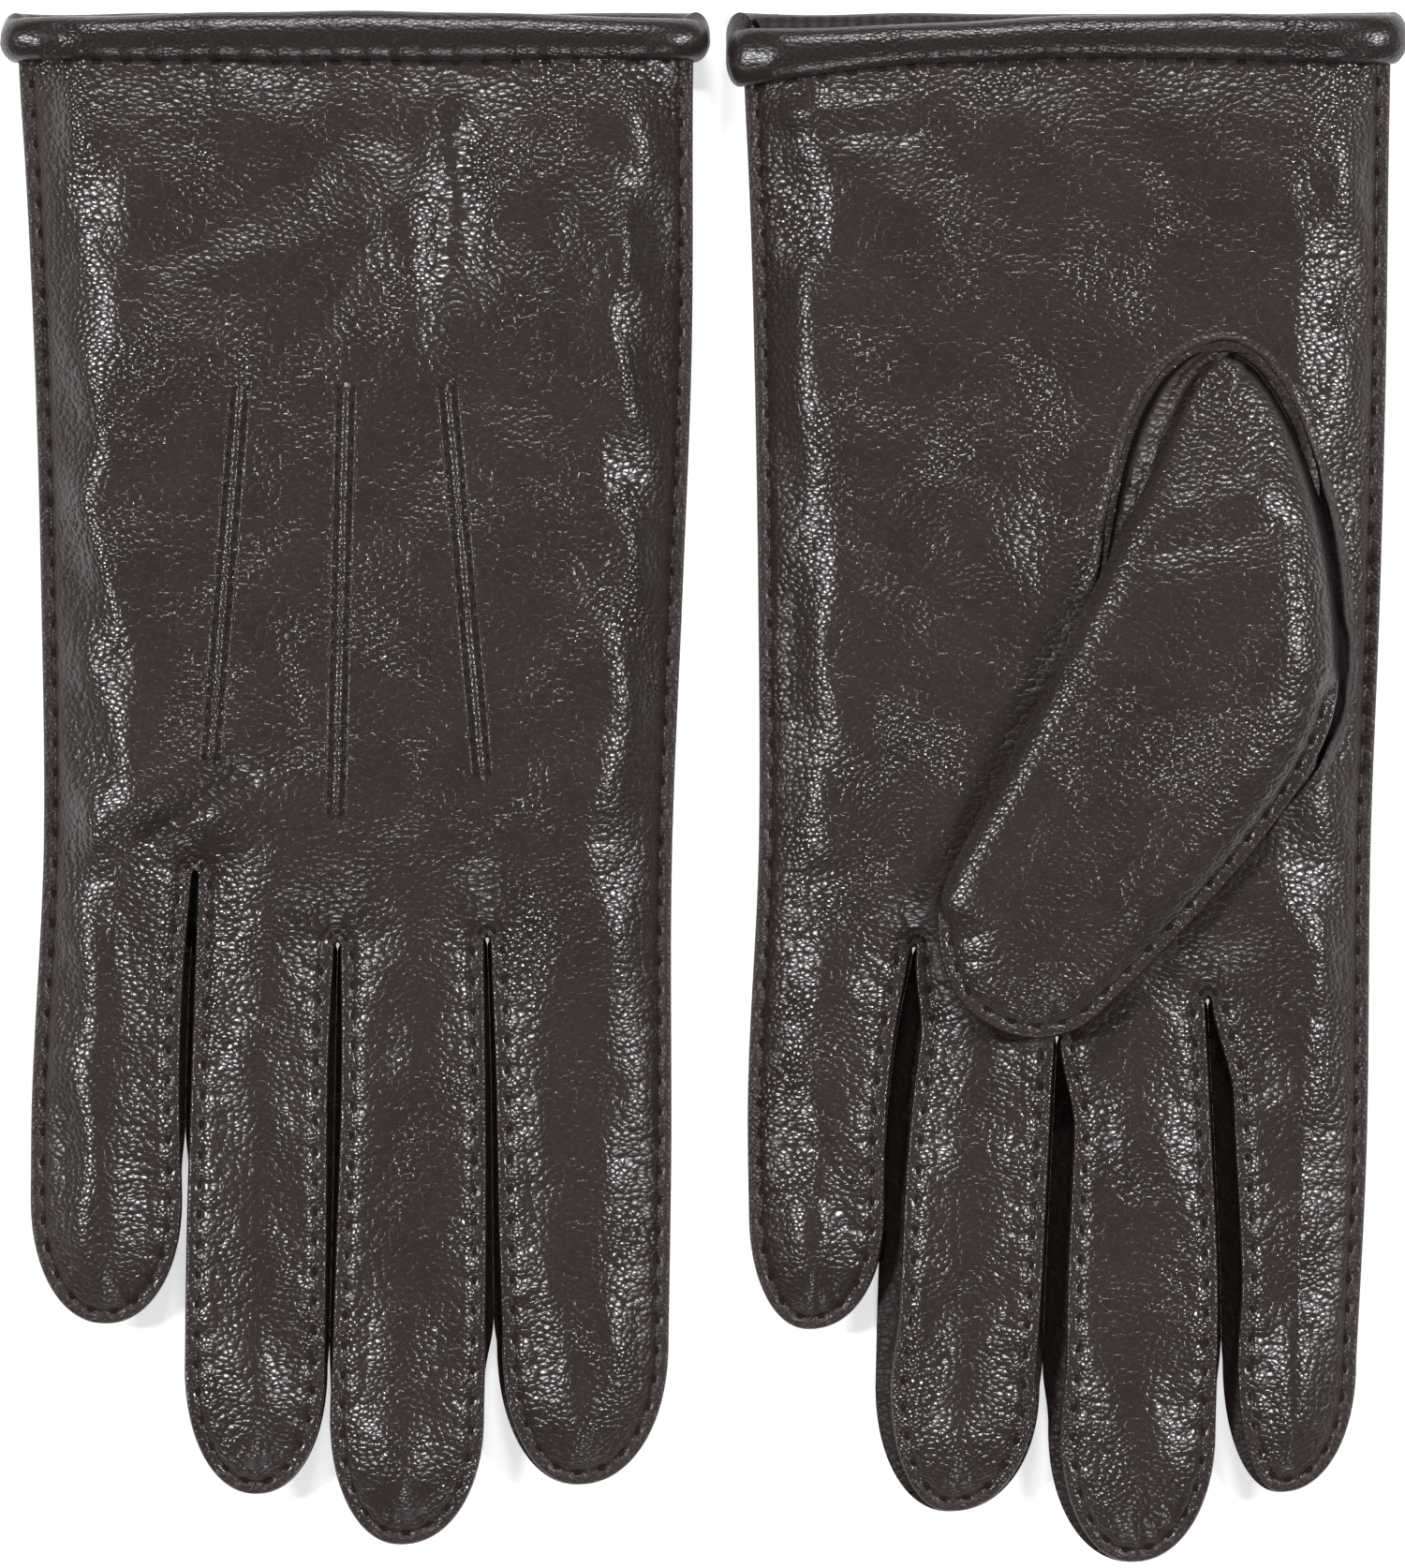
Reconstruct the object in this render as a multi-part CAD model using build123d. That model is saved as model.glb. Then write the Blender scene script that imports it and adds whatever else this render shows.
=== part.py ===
from build123d import *
from collections import namedtuple
import math
import os

# A pair of lined leather dress gloves that lies flat on a table. The left glove lies palm up with its
# thumb folded over the palm. The right glove lies palm down with its thumb folded under the palm.
# Row frame: +Z up from the table, +Y towards the cuffs, -Y towards the fingertips. Each glove has its
# little finger at its -X side. The origin is on the table, at the middle of the pair. Millimetres.

# Leather and lining, and the section that they make
leather = 1.0
lining = 1.2
wall = leather + lining
corner_radius = 3.5
smallest_radius = 0.8  # of the section's innermost corners
finger_height = 12.0
table_flat = 1.0  # the hand's section starts this much lower and is cut flat at the table
seam_offset = 3.6  # from a finger's face to the seam that its side strip is sewn to
strip_reach = 0.45  # how far a side strip runs past the tip's centre, as a share of the tip radius
fork_gap = 1.2  # open width of the slit between two fingers

# The bound cuff edge and its row of stitches
cuff_top = 124.2
cuff_edge = 116.2
binding_swell = 1.0
binding_round = 1.3
stitch_length = 2.4
stitch_pitch = 3.4
stitch_thickness = 0.6
stitch_float = 0.15  # the stitches' clearance over the leather
stitch_inset = 1.2  # from the binding's edge to the row
stitch_margin = 7.0  # from the cuff's sides to the first and last stitch

# The three raised points on the back of the hand, each from its wrist end to its knuckle end
point_lines = [((-18.2, 65.3), (-23.2, 2.7)), ((-1.4, 65.1), (-3.1, -6.3)), ((14.7, 65.4), (20.5, 0.5))]
point_width = 2.2
point_rise = 0.8

# The thumb is a rounded triangle, sewn to the palm around a long oval hole
thumb_ball = (31.3, 12.0)
thumb_base = (28.8, 54.5)
thumb_radius = 13.5
thumb_round = 2.6
hole_radius = 8.0
gusset_radius = 11.0
collar_width = 1.6
pocket_clearance = 1.5
roof_to_slit = 0.5  # leather left between the thumb's pocket and the slit above it

# Hinges
hinge_gap = 0.3
bend_back = 16.0  # degrees of the wedge that lets a finger bend away from the palm
wedge_overrun = 4.0
root_overlap = 6.0  # how far a finger is drawn past its hinge before it is cut

beyond = 200.0  # more than any piece reaches

Finger = namedtuple("Finger", "name hinge_y left right tip_x tip_y tip_radius")
Station = namedtuple("Station", "y left right top")

# Each glove: its sections along the hand, the tops of the slits between its fingers (x, y), its fingers
# with their width at the root and the centre and radius of their tips, and its thumb.
gloves = {
    "left": {
        "palm_up": True,
        "centre": 57.7,
        "stations": [
            Station(cuff_edge, 5.9, 110.5, 12.5),
            Station(72.0, 8.0, 109.6, 13.0),
            Station(-9.0, 8.8, 107.1, 13.0),
            Station(-42.0, 7.4, 106.5, 12.0),
        ],
        "slits": [(34.0, -26.0), (56.8, -39.0), (81.0, -34.0)],
        "fingers": [
            Finger("little", -30.0, 7.6, 33.4, 17.4, -76.7, 10.3),
            Finger("ring", -42.0, 34.6, 56.2, 40.4, -104.1, 12.0),
            Finger("middle", -42.0, 57.4, 80.4, 68.8, -112.0, 12.2),
            Finger("index", -38.0, 81.6, 106.4, 93.4, -101.5, 11.2),
        ],
        "thumb_tip": (-5.7, -26.5),
        "thumb_height": 9.0,
        "thumb_gap": 0.7,
    },
    "right": {
        "palm_up": False,
        "centre": -55.8,
        "stations": [
            Station(cuff_edge, -110.5, -1.8, 12.0),
            Station(72.0, -107.4, -2.0, 17.0),
            Station(-9.0, -105.9, -5.0, 17.0),
            Station(-34.0, -106.4, -5.2, 12.0),
        ],
        "slits": [(-82.4, -14.0), (-59.0, -25.0), (-34.5, -24.5)],
        "fingers": [
            Finger("little", -34.0, -106.2, -83.0, -95.8, -74.6, 11.5),
            Finger("ring", -34.0, -81.8, -59.6, -71.8, -102.6, 10.8),
            Finger("middle", -34.0, -58.4, -35.1, -48.0, -110.0, 11.5),
            Finger("index", -34.0, -33.9, -5.4, -20.0, -98.8, 13.1),
        ],
        "thumb_tip": (-27.0, -14.5),
        "thumb_height": 7.0,
        "thumb_gap": 0.5,
    },
}


def box(x, y, z):
    """A box between the two values given for each axis."""
    size = (x[1] - x[0], y[1] - y[0], z[1] - z[0])
    return Pos(x[0], y[0], z[0]) * Box(*size, align=(Align.MIN, Align.MIN, Align.MIN))


def slab(low, high):
    """Everything between two heights."""
    return box((-beyond, beyond), (-beyond, beyond), (low, high))


def section(station, inset, drop=0.0):
    """A closed cross-section at one station, drawn in by inset all round, its bottom lower by drop."""
    width = station.right - station.left - 2 * inset
    height = station.top + drop - 2 * inset
    middle = ((station.left + station.right) / 2, station.y, (station.top - drop) / 2)
    outline = RectangleRounded(width, height, max(corner_radius - inset, smallest_radius))
    return Plane(middle, x_dir=(1, 0, 0), z_dir=(0, 1, 0)) * outline


def hand_envelope(glove, inset):
    """The hand through its stations, flat underneath. An inset one runs out past both open ends."""
    stations = list(glove["stations"])
    if inset:
        first, last = stations[0], stations[-1]
        stations.insert(0, first._replace(y=first.y + 20.0))
        stations.append(last._replace(y=last.y - 20.0))
    drawn = loft([section(s, inset, table_flat) for s in stations], ruled=True)
    return drawn - slab(-beyond, inset)


def stadium(start, end, radius):
    """A flat shape of constant radius around the line from start to end."""
    run = (end[0] - start[0], end[1] - start[1])
    middle = ((start[0] + end[0]) / 2, (start[1] + end[1]) / 2)
    turn = math.degrees(math.atan2(run[1], run[0]))
    return Pos(*middle) * Rot(0, 0, turn) * SlotCenterToCenter(math.hypot(*run), 2 * radius)


def thumb_outline(glove, radius):
    """The thumb seen from above: the triangle tip, ball, base with its corners rounded to radius."""
    triangle = make_face(Polyline(glove["thumb_tip"], thumb_ball, thumb_base, close=True))
    return Pos(glove["centre"], 0) * offset(triangle, amount=radius, kind=Kind.ARC)


def pocket_depth(glove):
    """The depth of the hollow in the palm that takes a thumb folded under it."""
    return glove["thumb_height"] + glove["thumb_gap"]


def pocket(glove, growth):
    """The thumb's hollow in the palm, made larger by growth on its sides and roof."""
    outline = thumb_outline(glove, thumb_radius + pocket_clearance + growth)
    return extrude(outline, pocket_depth(glove) + growth)


def slits(glove, growth):
    """The slits between the fingers, larger by growth. One over the thumb's hollow stays above its roof."""
    made = []
    for x, crotch in glove["slits"]:
        half = fork_gap / 2 + growth
        over_pocket = not glove["palm_up"] and x < glove["centre"] + glove["thumb_tip"][0] + thumb_radius
        floor = pocket_depth(glove) + leather + roof_to_slit - growth if over_pocket else -1.0
        made.append(box((x - half, x + half), (-beyond, crotch + growth), (floor, beyond)))
    return made


def hand_body(glove, inset):
    """The hand as one block, drawn in by inset from every outer face, slit and hollow."""
    body = hand_envelope(glove, inset) - slits(glove, inset)
    return body if glove["palm_up"] else body - pocket(glove, inset)


def finger_ends(glove):
    """What lies past each finger's hinge line, which belongs to the finger and not to the hand."""
    edges = [-beyond] + [x for x, _ in glove["slits"]] + [beyond]
    return [
        box((edges[n], edges[n + 1]), (-beyond, finger.hinge_y), (-1.0, beyond))
        for n, finger in enumerate(glove["fingers"])
    ]


def build_hand(glove):
    """The pieces that stay with the hand."""
    palm_up = glove["palm_up"]
    ends = finger_ends(glove)
    inner = hand_envelope(glove, leather)
    skin = hand_body(glove, 0) - hand_body(glove, leather) - ends
    sleeve = (hand_body(glove, leather) - hand_body(glove, wall)) & box(
        (-beyond, beyond), (-beyond, cuff_edge), (-1.0, beyond)
    )

    # the leather is cut at the slits and at the side seams, and the hollow's roof goes with the palm
    webs = Part() + [skin & inner & slit for slit in slits(glove, leather)]
    skin = skin - slits(glove, leather)
    lower = skin & slab(-1.0, finger_height / 2)
    upper = skin & slab(finger_height / 2, beyond)
    if not palm_up:
        roof = upper & pocket(glove, leather) & inner
        webs = webs - pocket(glove, leather)
        lower = lower + roof
        upper = upper - roof
    back, palm = (lower, upper) if palm_up else (upper, lower)

    # the thumb hole, with the gusset around it and the seam collar around the gusset
    crown = max(s.top for s in glove["stations"])
    level = crown - leather if palm_up else pocket_depth(glove)
    at = Pos(glove["centre"], 0, level)
    hole = at * Pos(0, 0, -wall) * extrude(stadium(thumb_ball, thumb_base, hole_radius), 3 * wall)
    gusset_disc = at * extrude(stadium(thumb_ball, thumb_base, gusset_radius), leather)
    collar_disc = at * extrude(stadium(thumb_ball, thumb_base, gusset_radius + collar_width), leather)
    palm = palm - collar_disc

    # the raised points, let into the back that lies on the table and standing proud on the other
    strips = [Pos(glove["centre"], 0) * stadium(*line, point_width / 2) for line in point_lines]
    if palm_up:
        points = [extrude(strip, leather) for strip in strips]
        back = back - points
    else:
        points = [Pos(0, 0, crown) * extrude(strip, point_rise) for strip in strips]

    return {
        "back_panel": back,
        "palm_panel": palm,
        "hand_lining": sleeve - ends - hole,
        "fork_webs": webs,
        "back_points": Part() + points,
        "thumb_gusset": gusset_disc - hole,
        "thumb_collar": collar_disc - gusset_disc,
        "cuff_binding": cuff_binding(glove),
        "cuff_thread": cuff_thread(glove),
    }


def cuff_binding(glove):
    """The rolled leather band that finishes the cuff and covers the ends of leather and lining."""
    cuff = glove["stations"][0]
    wide = cuff._replace(left=cuff.left - binding_swell, right=cuff.right + binding_swell)
    height = cuff_top - cuff_edge
    band = extrude(section(wide, 0), amount=height, dir=(0, 1, 0))
    rims = band.edges().group_by(Axis.Y)
    band = fillet(rims[0] + rims[-1], binding_round)
    return band - extrude(section(cuff, wall), amount=height, dir=(0, 1, 0))


def cuff_thread(glove):
    """The row of stitches on the upper face, just below the binding."""
    cuff = glove["stations"][0]
    count = int((cuff.right - cuff.left - 2 * stitch_margin) / stitch_pitch)
    first = (cuff.left + cuff.right) / 2 - (count - 1) * stitch_pitch / 2
    fall = glove["stations"][1].top - cuff.top
    slope = fall / (cuff.y - glove["stations"][1].y)
    surface = cuff.top + slope * (stitch_inset + stitch_thickness)
    rod = Rot(0, 90, 0) * Cylinder(stitch_thickness / 2, stitch_length)
    at = Pos(first, cuff.y - stitch_inset, surface + stitch_thickness / 2 + stitch_float)
    return Part() + [at * Pos(n * stitch_pitch, 0) * rod for n in range(count)]


def finger_length(finger):
    """From a finger's tip centre to its hinge line, along its own middle line."""
    return math.hypot((finger.left + finger.right) / 2 - finger.tip_x, finger.hinge_y - finger.tip_y)


def finger_block(finger, inset):
    """A finger's envelope, drawn in by inset, in its own frame: tip centre at 0, root along +y."""
    reach = finger_length(finger)
    length = reach + root_overlap
    radius = finger.tip_radius - inset
    slope = math.atan(((finger.right - finger.left) / 2 - finger.tip_radius) / reach)
    side = (radius * math.cos(slope), -radius * math.sin(slope))
    root = (side[0] + (length - side[1]) * math.tan(slope), length)
    tip = ThreePointArc((-side[0], side[1]), (0, -radius), side)
    outline = Polyline(side, root, (-root[0], length), (-side[0], side[1])) + tip
    block = Pos(0, 0, inset) * extrude(make_face(outline), finger_height - 2 * inset)
    level_edges = [e for e in block.edges() if abs(e.tangent_at(0.5).Z) < 0.5]
    rim = [e for e in level_edges if e.position_at(0.5).Y < reach]
    return fillet(rim, corner_radius - inset)


def finger_place(finger):
    """Where a finger's own frame lies in the row frame."""
    across = finger.tip_x - (finger.left + finger.right) / 2
    lean = math.degrees(math.atan2(across, finger.hinge_y - finger.tip_y))
    return Pos(finger.tip_x, finger.tip_y) * Rot(0, 0, lean)


def root_cutter(finger, palm_up):
    """What is cut off a finger's root: up to the hinge, and a wedge that lets the finger bend back."""
    palm_z, back_z = (finger_height, 0.0) if palm_up else (0.0, finger_height)
    towards_palm = math.copysign(wedge_overrun, palm_z - back_z)
    slope = math.tan(math.radians(bend_back))
    start = finger.hinge_y - hinge_gap
    end = start - (finger_height + wedge_overrun) * slope
    outline = Polyline(
        (start, palm_z + towards_palm),
        (start, palm_z),
        (end, back_z - towards_palm),
        (beyond, back_z - towards_palm),
        (beyond, palm_z + towards_palm),
        close=True,
    )
    profile = Plane(origin=(0, 0, 0), x_dir=(0, 1, 0), z_dir=(1, 0, 0)) * make_face(outline)
    return extrude(profile, amount=beyond, both=True)


def build_finger(finger, strip_sides, palm_up):
    """A finger's back and palm leather, its side strips and its lining."""
    place = finger_place(finger)
    cutter = root_cutter(finger, palm_up)
    skin = finger_block(finger, 0) - finger_block(finger, leather)
    sleeve = finger_block(finger, leather) - finger_block(finger, wall)
    made = {}
    for side in strip_sides:
        reach = (0.0, beyond) if side > 0 else (-beyond, 0.0)
        room = box(reach, (-finger.tip_radius * strip_reach, beyond), (seam_offset, finger_height - seam_offset))
        name = "fork_strip"
        if len(strip_sides) > 1:
            name += "_index_side" if side > 0 else "_little_side"
        made[name] = place * (skin & room) - cutter
        skin = skin - room
    lower = place * (skin & slab(-1.0, finger_height / 2)) - cutter
    upper = place * (skin & slab(finger_height / 2, beyond)) - cutter
    made["back"], made["palm"] = (lower, upper) if palm_up else (upper, lower)
    made["lining"] = place * sleeve - cutter
    return made


def thumb_block(glove, inset):
    """The thumb's envelope, drawn in by inset, lying on the level z = 0."""
    height = glove["thumb_height"]
    solid = extrude(thumb_outline(glove, thumb_radius - inset), height - 2 * inset)
    if thumb_round > inset + hinge_gap:
        rims = solid.edges().group_by(Axis.Z)
        solid = fillet(rims[0] + rims[-1], thumb_round - inset)
    return Pos(0, 0, inset) * solid


def build_thumb(glove):
    """The thumb's outer and under leather and its lining, open towards the hand at its base."""
    height = glove["thumb_height"]
    way_in = Pos(glove["centre"], 0, -1.0) * extrude(stadium(thumb_ball, thumb_base, gusset_radius), wall + 1.0)
    skin = thumb_block(glove, 0) - thumb_block(glove, leather) - way_in
    sleeve = thumb_block(glove, leather) - thumb_block(glove, wall) - way_in
    pieces = {
        "outer": skin & slab(height / 2, beyond),
        "under": skin & slab(-1.0, height / 2),
        "lining": sleeve,
    }
    if glove["palm_up"]:
        level = max(s.top for s in glove["stations"]) + glove["thumb_gap"]
        return {name: Pos(0, 0, level) * piece for name, piece in pieces.items()}
    return {name: Pos(0, 0, height) * mirror(piece, about=Plane.XY) for name, piece in pieces.items()}


def write(name, made):
    """Writes one node's solids to its own STEP file."""
    export_step(Compound(children=list(made.solids())), f"parts/{name}.step")


os.makedirs("parts", exist_ok=True)
for side, glove in gloves.items():
    for piece_name, piece in build_hand(glove).items():
        write(f"{side}_{piece_name}", piece)
    last = len(glove["fingers"]) - 1
    for number, finger in enumerate(glove["fingers"]):
        strip_sides = [s for s in (-1, 1) if 0 <= number + s <= last]
        for piece_name, piece in build_finger(finger, strip_sides, glove["palm_up"]).items():
            write(f"{side}_{finger.name}_{piece_name}", piece)
    for piece_name, piece in build_thumb(glove).items():
        write(f"{side}_thumb_{piece_name}", piece)
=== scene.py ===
import bpy
import bmesh
import math
import numpy as np
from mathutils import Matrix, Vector


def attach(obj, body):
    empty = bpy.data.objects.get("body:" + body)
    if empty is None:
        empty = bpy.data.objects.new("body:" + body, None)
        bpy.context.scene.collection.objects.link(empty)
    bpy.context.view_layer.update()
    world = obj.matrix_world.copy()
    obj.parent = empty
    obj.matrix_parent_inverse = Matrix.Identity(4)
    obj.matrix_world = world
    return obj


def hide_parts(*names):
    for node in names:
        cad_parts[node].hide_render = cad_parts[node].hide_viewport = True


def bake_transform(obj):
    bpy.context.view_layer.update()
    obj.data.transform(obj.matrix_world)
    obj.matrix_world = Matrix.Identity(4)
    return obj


# A pair of lined leather dress gloves, lying flat: the right glove back up, the left glove palm up with its
# thumb folded over the palm. Shapes are worked out in millimetres and made in metres, in the frame's axes.

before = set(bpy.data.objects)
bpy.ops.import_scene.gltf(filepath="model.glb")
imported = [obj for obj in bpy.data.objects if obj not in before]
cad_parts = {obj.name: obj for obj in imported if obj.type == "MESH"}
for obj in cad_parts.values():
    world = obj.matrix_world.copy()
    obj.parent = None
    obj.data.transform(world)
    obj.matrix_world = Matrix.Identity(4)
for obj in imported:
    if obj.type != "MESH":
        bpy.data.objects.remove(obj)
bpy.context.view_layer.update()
mm = 0.001


# ---- lines, distances and waves, all as whole arrays

def softLine(knots, at):
    # a smooth curve through (place, value) knots: cubic pieces whose slopes come from the neighbouring knots
    table = np.array(sorted(knots), float)
    place, value = table[:, 0], table[:, 1]
    slope = np.gradient(value, place)
    i = np.clip(np.searchsorted(place, at) - 1, 0, len(place) - 2)
    h = place[i + 1] - place[i]
    t = np.clip((at - place[i]) / h, 0, 1)
    a, b = value[i], value[i + 1]
    ma, mb = slope[i] * h, slope[i + 1] * h
    return a + t * ma + t * t * (3 * (b - a) - 2 * ma - mb) + t ** 3 * (2 * (a - b) + ma + mb)


def smoothStep(t):
    t = np.clip(t, 0, 1)
    return t * t * (3 - 2 * t)


def spaced(path, step):
    # the same line with points every step
    path = np.asarray(path, float)
    run = np.r_[0, np.cumsum(np.linalg.norm(np.diff(path, axis=0), axis=1))]
    at = np.linspace(0, run[-1], max(int(run[-1] / step) + 1, 3))
    return np.stack([np.interp(at, run, path[:, k]) for k in range(path.shape[1])], 1), at


def nearest(line, x, y):
    # distance from each place to the nearest point of a line, and which point that is
    shape = np.shape(x)
    px, py = np.ravel(x), np.ravel(y)
    gap, index = np.empty(px.size), np.empty(px.size, int)
    for start in range(0, px.size, 3000):
        part = slice(start, start + 3000)
        far = (px[part, None] - line[None, :, 0]) ** 2 + (py[part, None] - line[None, :, 1]) ** 2
        index[part] = far.argmin(1)
        gap[part] = np.sqrt(far[np.arange(far.shape[0]), index[part]])
    return gap.reshape(shape), index.reshape(shape)


def shoulder(t, power=2.2):
    # rises from 0 with an upright start and levels off at 1, like a quarter of a rounded square
    t = np.clip(t, 0, 1)
    return (1 - (1 - t) ** power) ** (1 / power)


def slope(t, power=2.3):
    # rises from 0 at a steady slant and levels off at 1
    return 1 - (1 - np.clip(t, 0, 1)) ** power


def bellAt(t):
    return np.exp(-np.square(t))


def waves(count, shortest, longest, seed):
    # directions, lengths and offsets of a sum of sine waves
    pick = np.random.default_rng(seed)
    turn = pick.uniform(0, 2 * np.pi, count)
    size = np.exp(pick.uniform(np.log(shortest), np.log(longest), count))
    return turn, size, pick.uniform(0, 2 * np.pi, count)


def ripple(x, y, table, squeeze=1.0):
    # a soft uneven surface from about -1 to 1: the sum of the waves, stretched along x by squeeze
    turn, size, offset = table
    total = np.zeros(np.shape(x))
    for a, l, o in zip(turn, size, offset):
        total += np.sin(2 * np.pi * (x * np.cos(a) / squeeze + y * np.sin(a)) / l + o)
    return total / math.sqrt(len(size) / 2) / 1.6


def folds(x, y, strokes):
    # ridges (height above 0) and valleys (below 0): a bell across each stroke that fades at its two ends
    total = np.zeros(np.shape(x))
    for x0, y0, x1, y1, width, height in strokes:
        run = math.hypot(x1 - x0, y1 - y0)
        ux, uy = (x1 - x0) / run, (y1 - y0) / run
        along = (x - x0) * ux + (y - y0) * uy
        across = (x - x0) * -uy + (y - y0) * ux
        over = np.maximum(np.maximum(-along, along - run), 0)
        total += height * bellAt(across / width) * bellAt(over / (1.6 * width))
    return total


# ---- meshes

def addMesh(name, grids, material, facing=None):
    # joins grids of points (rows, columns, 3) in millimetres into one mesh with smooth faces; they look
    # towards facing, or outwards where it is "closed"
    points, faces, marks, base = [], [], [], 0
    for grid, options in grids:
        rows, columns = grid.shape[:2]
        index = base + np.arange(rows * columns).reshape(rows, columns)
        if options.get("around"):
            index = np.concatenate([index, index[:, :1]], 1)
        corners = index[:-1, :-1], index[:-1, 1:], index[1:, 1:], index[1:, :-1]
        faces.append(np.stack([k.ravel() for k in corners], 1))
        points.append(grid.reshape(-1, 3))
        marks.append(np.broadcast_to(options.get("shade", 0.0), (rows, columns)).ravel())
        base += rows * columns
    points, faces = np.concatenate(points), np.concatenate(faces)
    a, b, c, d = (points[faces[:, k]] for k in range(4))
    normal = np.cross(c - a, d - b)
    middle = points.mean(0)
    side = ((a + c) / 2 - middle) if isinstance(facing, str) else np.array(facing, float)
    if (normal * side).sum() < 0:
        faces = faces[:, ::-1]
    mesh = bpy.data.meshes.new(name)
    mesh.from_pydata((points * mm).tolist(), [], faces.tolist())
    mark = mesh.attributes.new("seamShade", "FLOAT", "POINT")
    mark.data.foreach_set("value", np.concatenate(marks).astype(np.float32))
    work = bmesh.new()
    work.from_mesh(mesh)
    bmesh.ops.remove_doubles(work, verts=work.verts, dist=0.000004)
    bmesh.ops.dissolve_degenerate(work, edges=work.edges, dist=0.000002)
    work.to_mesh(mesh)
    work.free()
    return linked(name, mesh, material)


def linked(name, mesh, material):
    # puts a mesh into the scene as a smooth piece
    mesh.polygons.foreach_set("use_smooth", np.ones(len(mesh.polygons), bool))
    mesh.materials.append(material)
    piece = bpy.data.objects.new(name, mesh)
    bpy.context.scene.collection.objects.link(piece)
    return piece


# ---- what the two gloves measure, in millimetres

leather = {"thickness": 1.0, "rawEdge": 0.35, "stripHalf": 2.6, "rest": 0.15}
stitches = {"inset": 1.9, "pitch": 4.8, "length": 2.0, "radius": 0.3, "groove": 0.45, "proud": 0.12}
edgeSteps = np.array([0, 0.04, 0.1, 0.2, 0.35, 0.7, 1.0, 1.3, 1.5, 1.7, 1.9, 2.1, 2.35, 2.8, 3.5, 4.5])

# each finger: edges as (y, x) knots, the tip's x and lowest y, where its round end starts, and how far the
# upper skin is set in on its little-finger side, where the fork strip shows
rightGlove = {
    "side": "right", "upper": "back", "lower": "palm", "joinY": -10.5, "middle": 6.0, "cuffY": 116.3,
    "outer": ([(124, -110.2), (112, -109.6), (100, -108.8), (69, -107.3), (30, -106.2), (-9, -105.8),
               (-54, -107.8)],
              [(124, -1.6), (112, -1.7), (69, -1.9), (30, -3.4), (-9, -5.0), (-63, -5.2)]),
    "crotches": [(-81.5, -13.5), (-58.7, -24.8), (-34.7, -24.0)],
    "fingers": [
        {"name": "little", "left": [(-54, -107.8), (-66, -107.9)], "right": [(-14.4, -82.0), (-30, -83.3),
         (-48, -83.9), (-66, -83.6)], "tip": (-95.9, -86.1, -66), "inset": 0.0},
        {"name": "ring", "left": [(-14.4, -81.0), (-40, -81.9), (-70, -82.8), (-93, -83.2)],
         "right": [(-25.7, -59.2), (-45, -60.1), (-70, -60.3), (-93, -60.6)], "tip": (-71.7, -113.4, -93),
         "inset": 0.0},
        {"name": "middle", "left": [(-25.7, -58.2), (-45, -58.1), (-75, -59.0), (-101, -59.9)],
         "right": [(-24.9, -35.2), (-45, -34.9), (-75, -34.8), (-101, -35.2)], "tip": (-48.6, -121.5, -101),
         "inset": 0.0},
        {"name": "index", "left": [(-24.9, -34.2), (-45, -33.4), (-70, -32.9), (-89, -32.3)],
         "right": [(-63, -5.2), (-89, -5.6)], "tip": (-20.2, -111.9, -89), "inset": 0.0}],
    "crown": [(124, 11.8), (110, 12.6), (80, 14.2), (30, 14.6), (-9, 14.0), (-30, 12.0), (-60, 11.2),
              (-122, 11.0)],
    "blend": [(-14, -50), (-25, -45), (-25, -45), (-25, -45)],
    "rimY": [(-111, 123.0), (-56, 124.2), (-1, 122.8)], "bandY": [(-111, 0.2), (-56, 0.0), (-1, 0.3)],
}
leftGlove = {
    "side": "left", "upper": "palm", "lower": "back", "joinY": -22.5, "middle": 6.0, "cuffY": 116.3,
    "outer": ([(124, 5.9), (110, 6.6), (90, 7.5), (63, 8.2), (30, 8.7), (-9, 8.8), (-54, 7.0)],
              [(124, 110.2), (100, 109.8), (69, 109.4), (30, 108.4), (-6, 107.0), (-63, 106.1)]),
    "crotches": [(34.0, -25.5), (56.8, -39.8), (80.8, -33.8)],
    "fingers": [
        {"name": "little", "left": [(-54, 7.0), (-68, 7.2)], "right": [(-26.4, 33.2), (-38, 30.9),
         (-52, 29.3), (-68, 28.9)], "tip": (16.9, -87.0, -68), "inset": 0.0},
        {"name": "ring", "left": [(-26.4, 34.0), (-40, 31.2), (-60, 28.9), (-78, 28.0), (-96, 27.5)],
         "right": [(-40.7, 56.2), (-60, 55.2), (-80, 54.2), (-96, 53.2)], "tip": (39.4, -116.2, -96),
         "inset": 3.6},
        {"name": "middle", "left": [(-40.7, 57.0), (-60, 56.2), (-80, 55.3), (-103, 55.2)],
         "right": [(-34.7, 80.3), (-55, 81.3), (-80, 82.4), (-103, 82.0)], "tip": (68.6, -124.3, -103),
         "inset": 2.9},
        {"name": "index", "left": [(-34.7, 81.3), (-55, 82.2), (-75, 83.2), (-92, 83.6)],
         "right": [(-63, 106.1), (-92, 104.6)], "tip": (92.4, -113.1, -92), "inset": 2.8}],
    "crown": [(124, 11.8), (110, 12.3), (80, 12.8), (30, 12.9), (-20, 12.6), (-40, 11.7), (-60, 11.2),
              (-124, 11.0)],
    "blend": [(-26, -40), (-40, -54), (-40, -54), (-34, -50)],
    "rimY": [(5, 121.3), (30, 121.9), (60, 123.4), (111, 123.6)],
    "bandY": [(5, -4.2), (25, -1.4), (50, 0.2), (111, -0.4)],
}
tipRoundness = 2.12
outOf = {"upper": (0, 0, 1), "lower": (0, 0, -1)}

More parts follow.
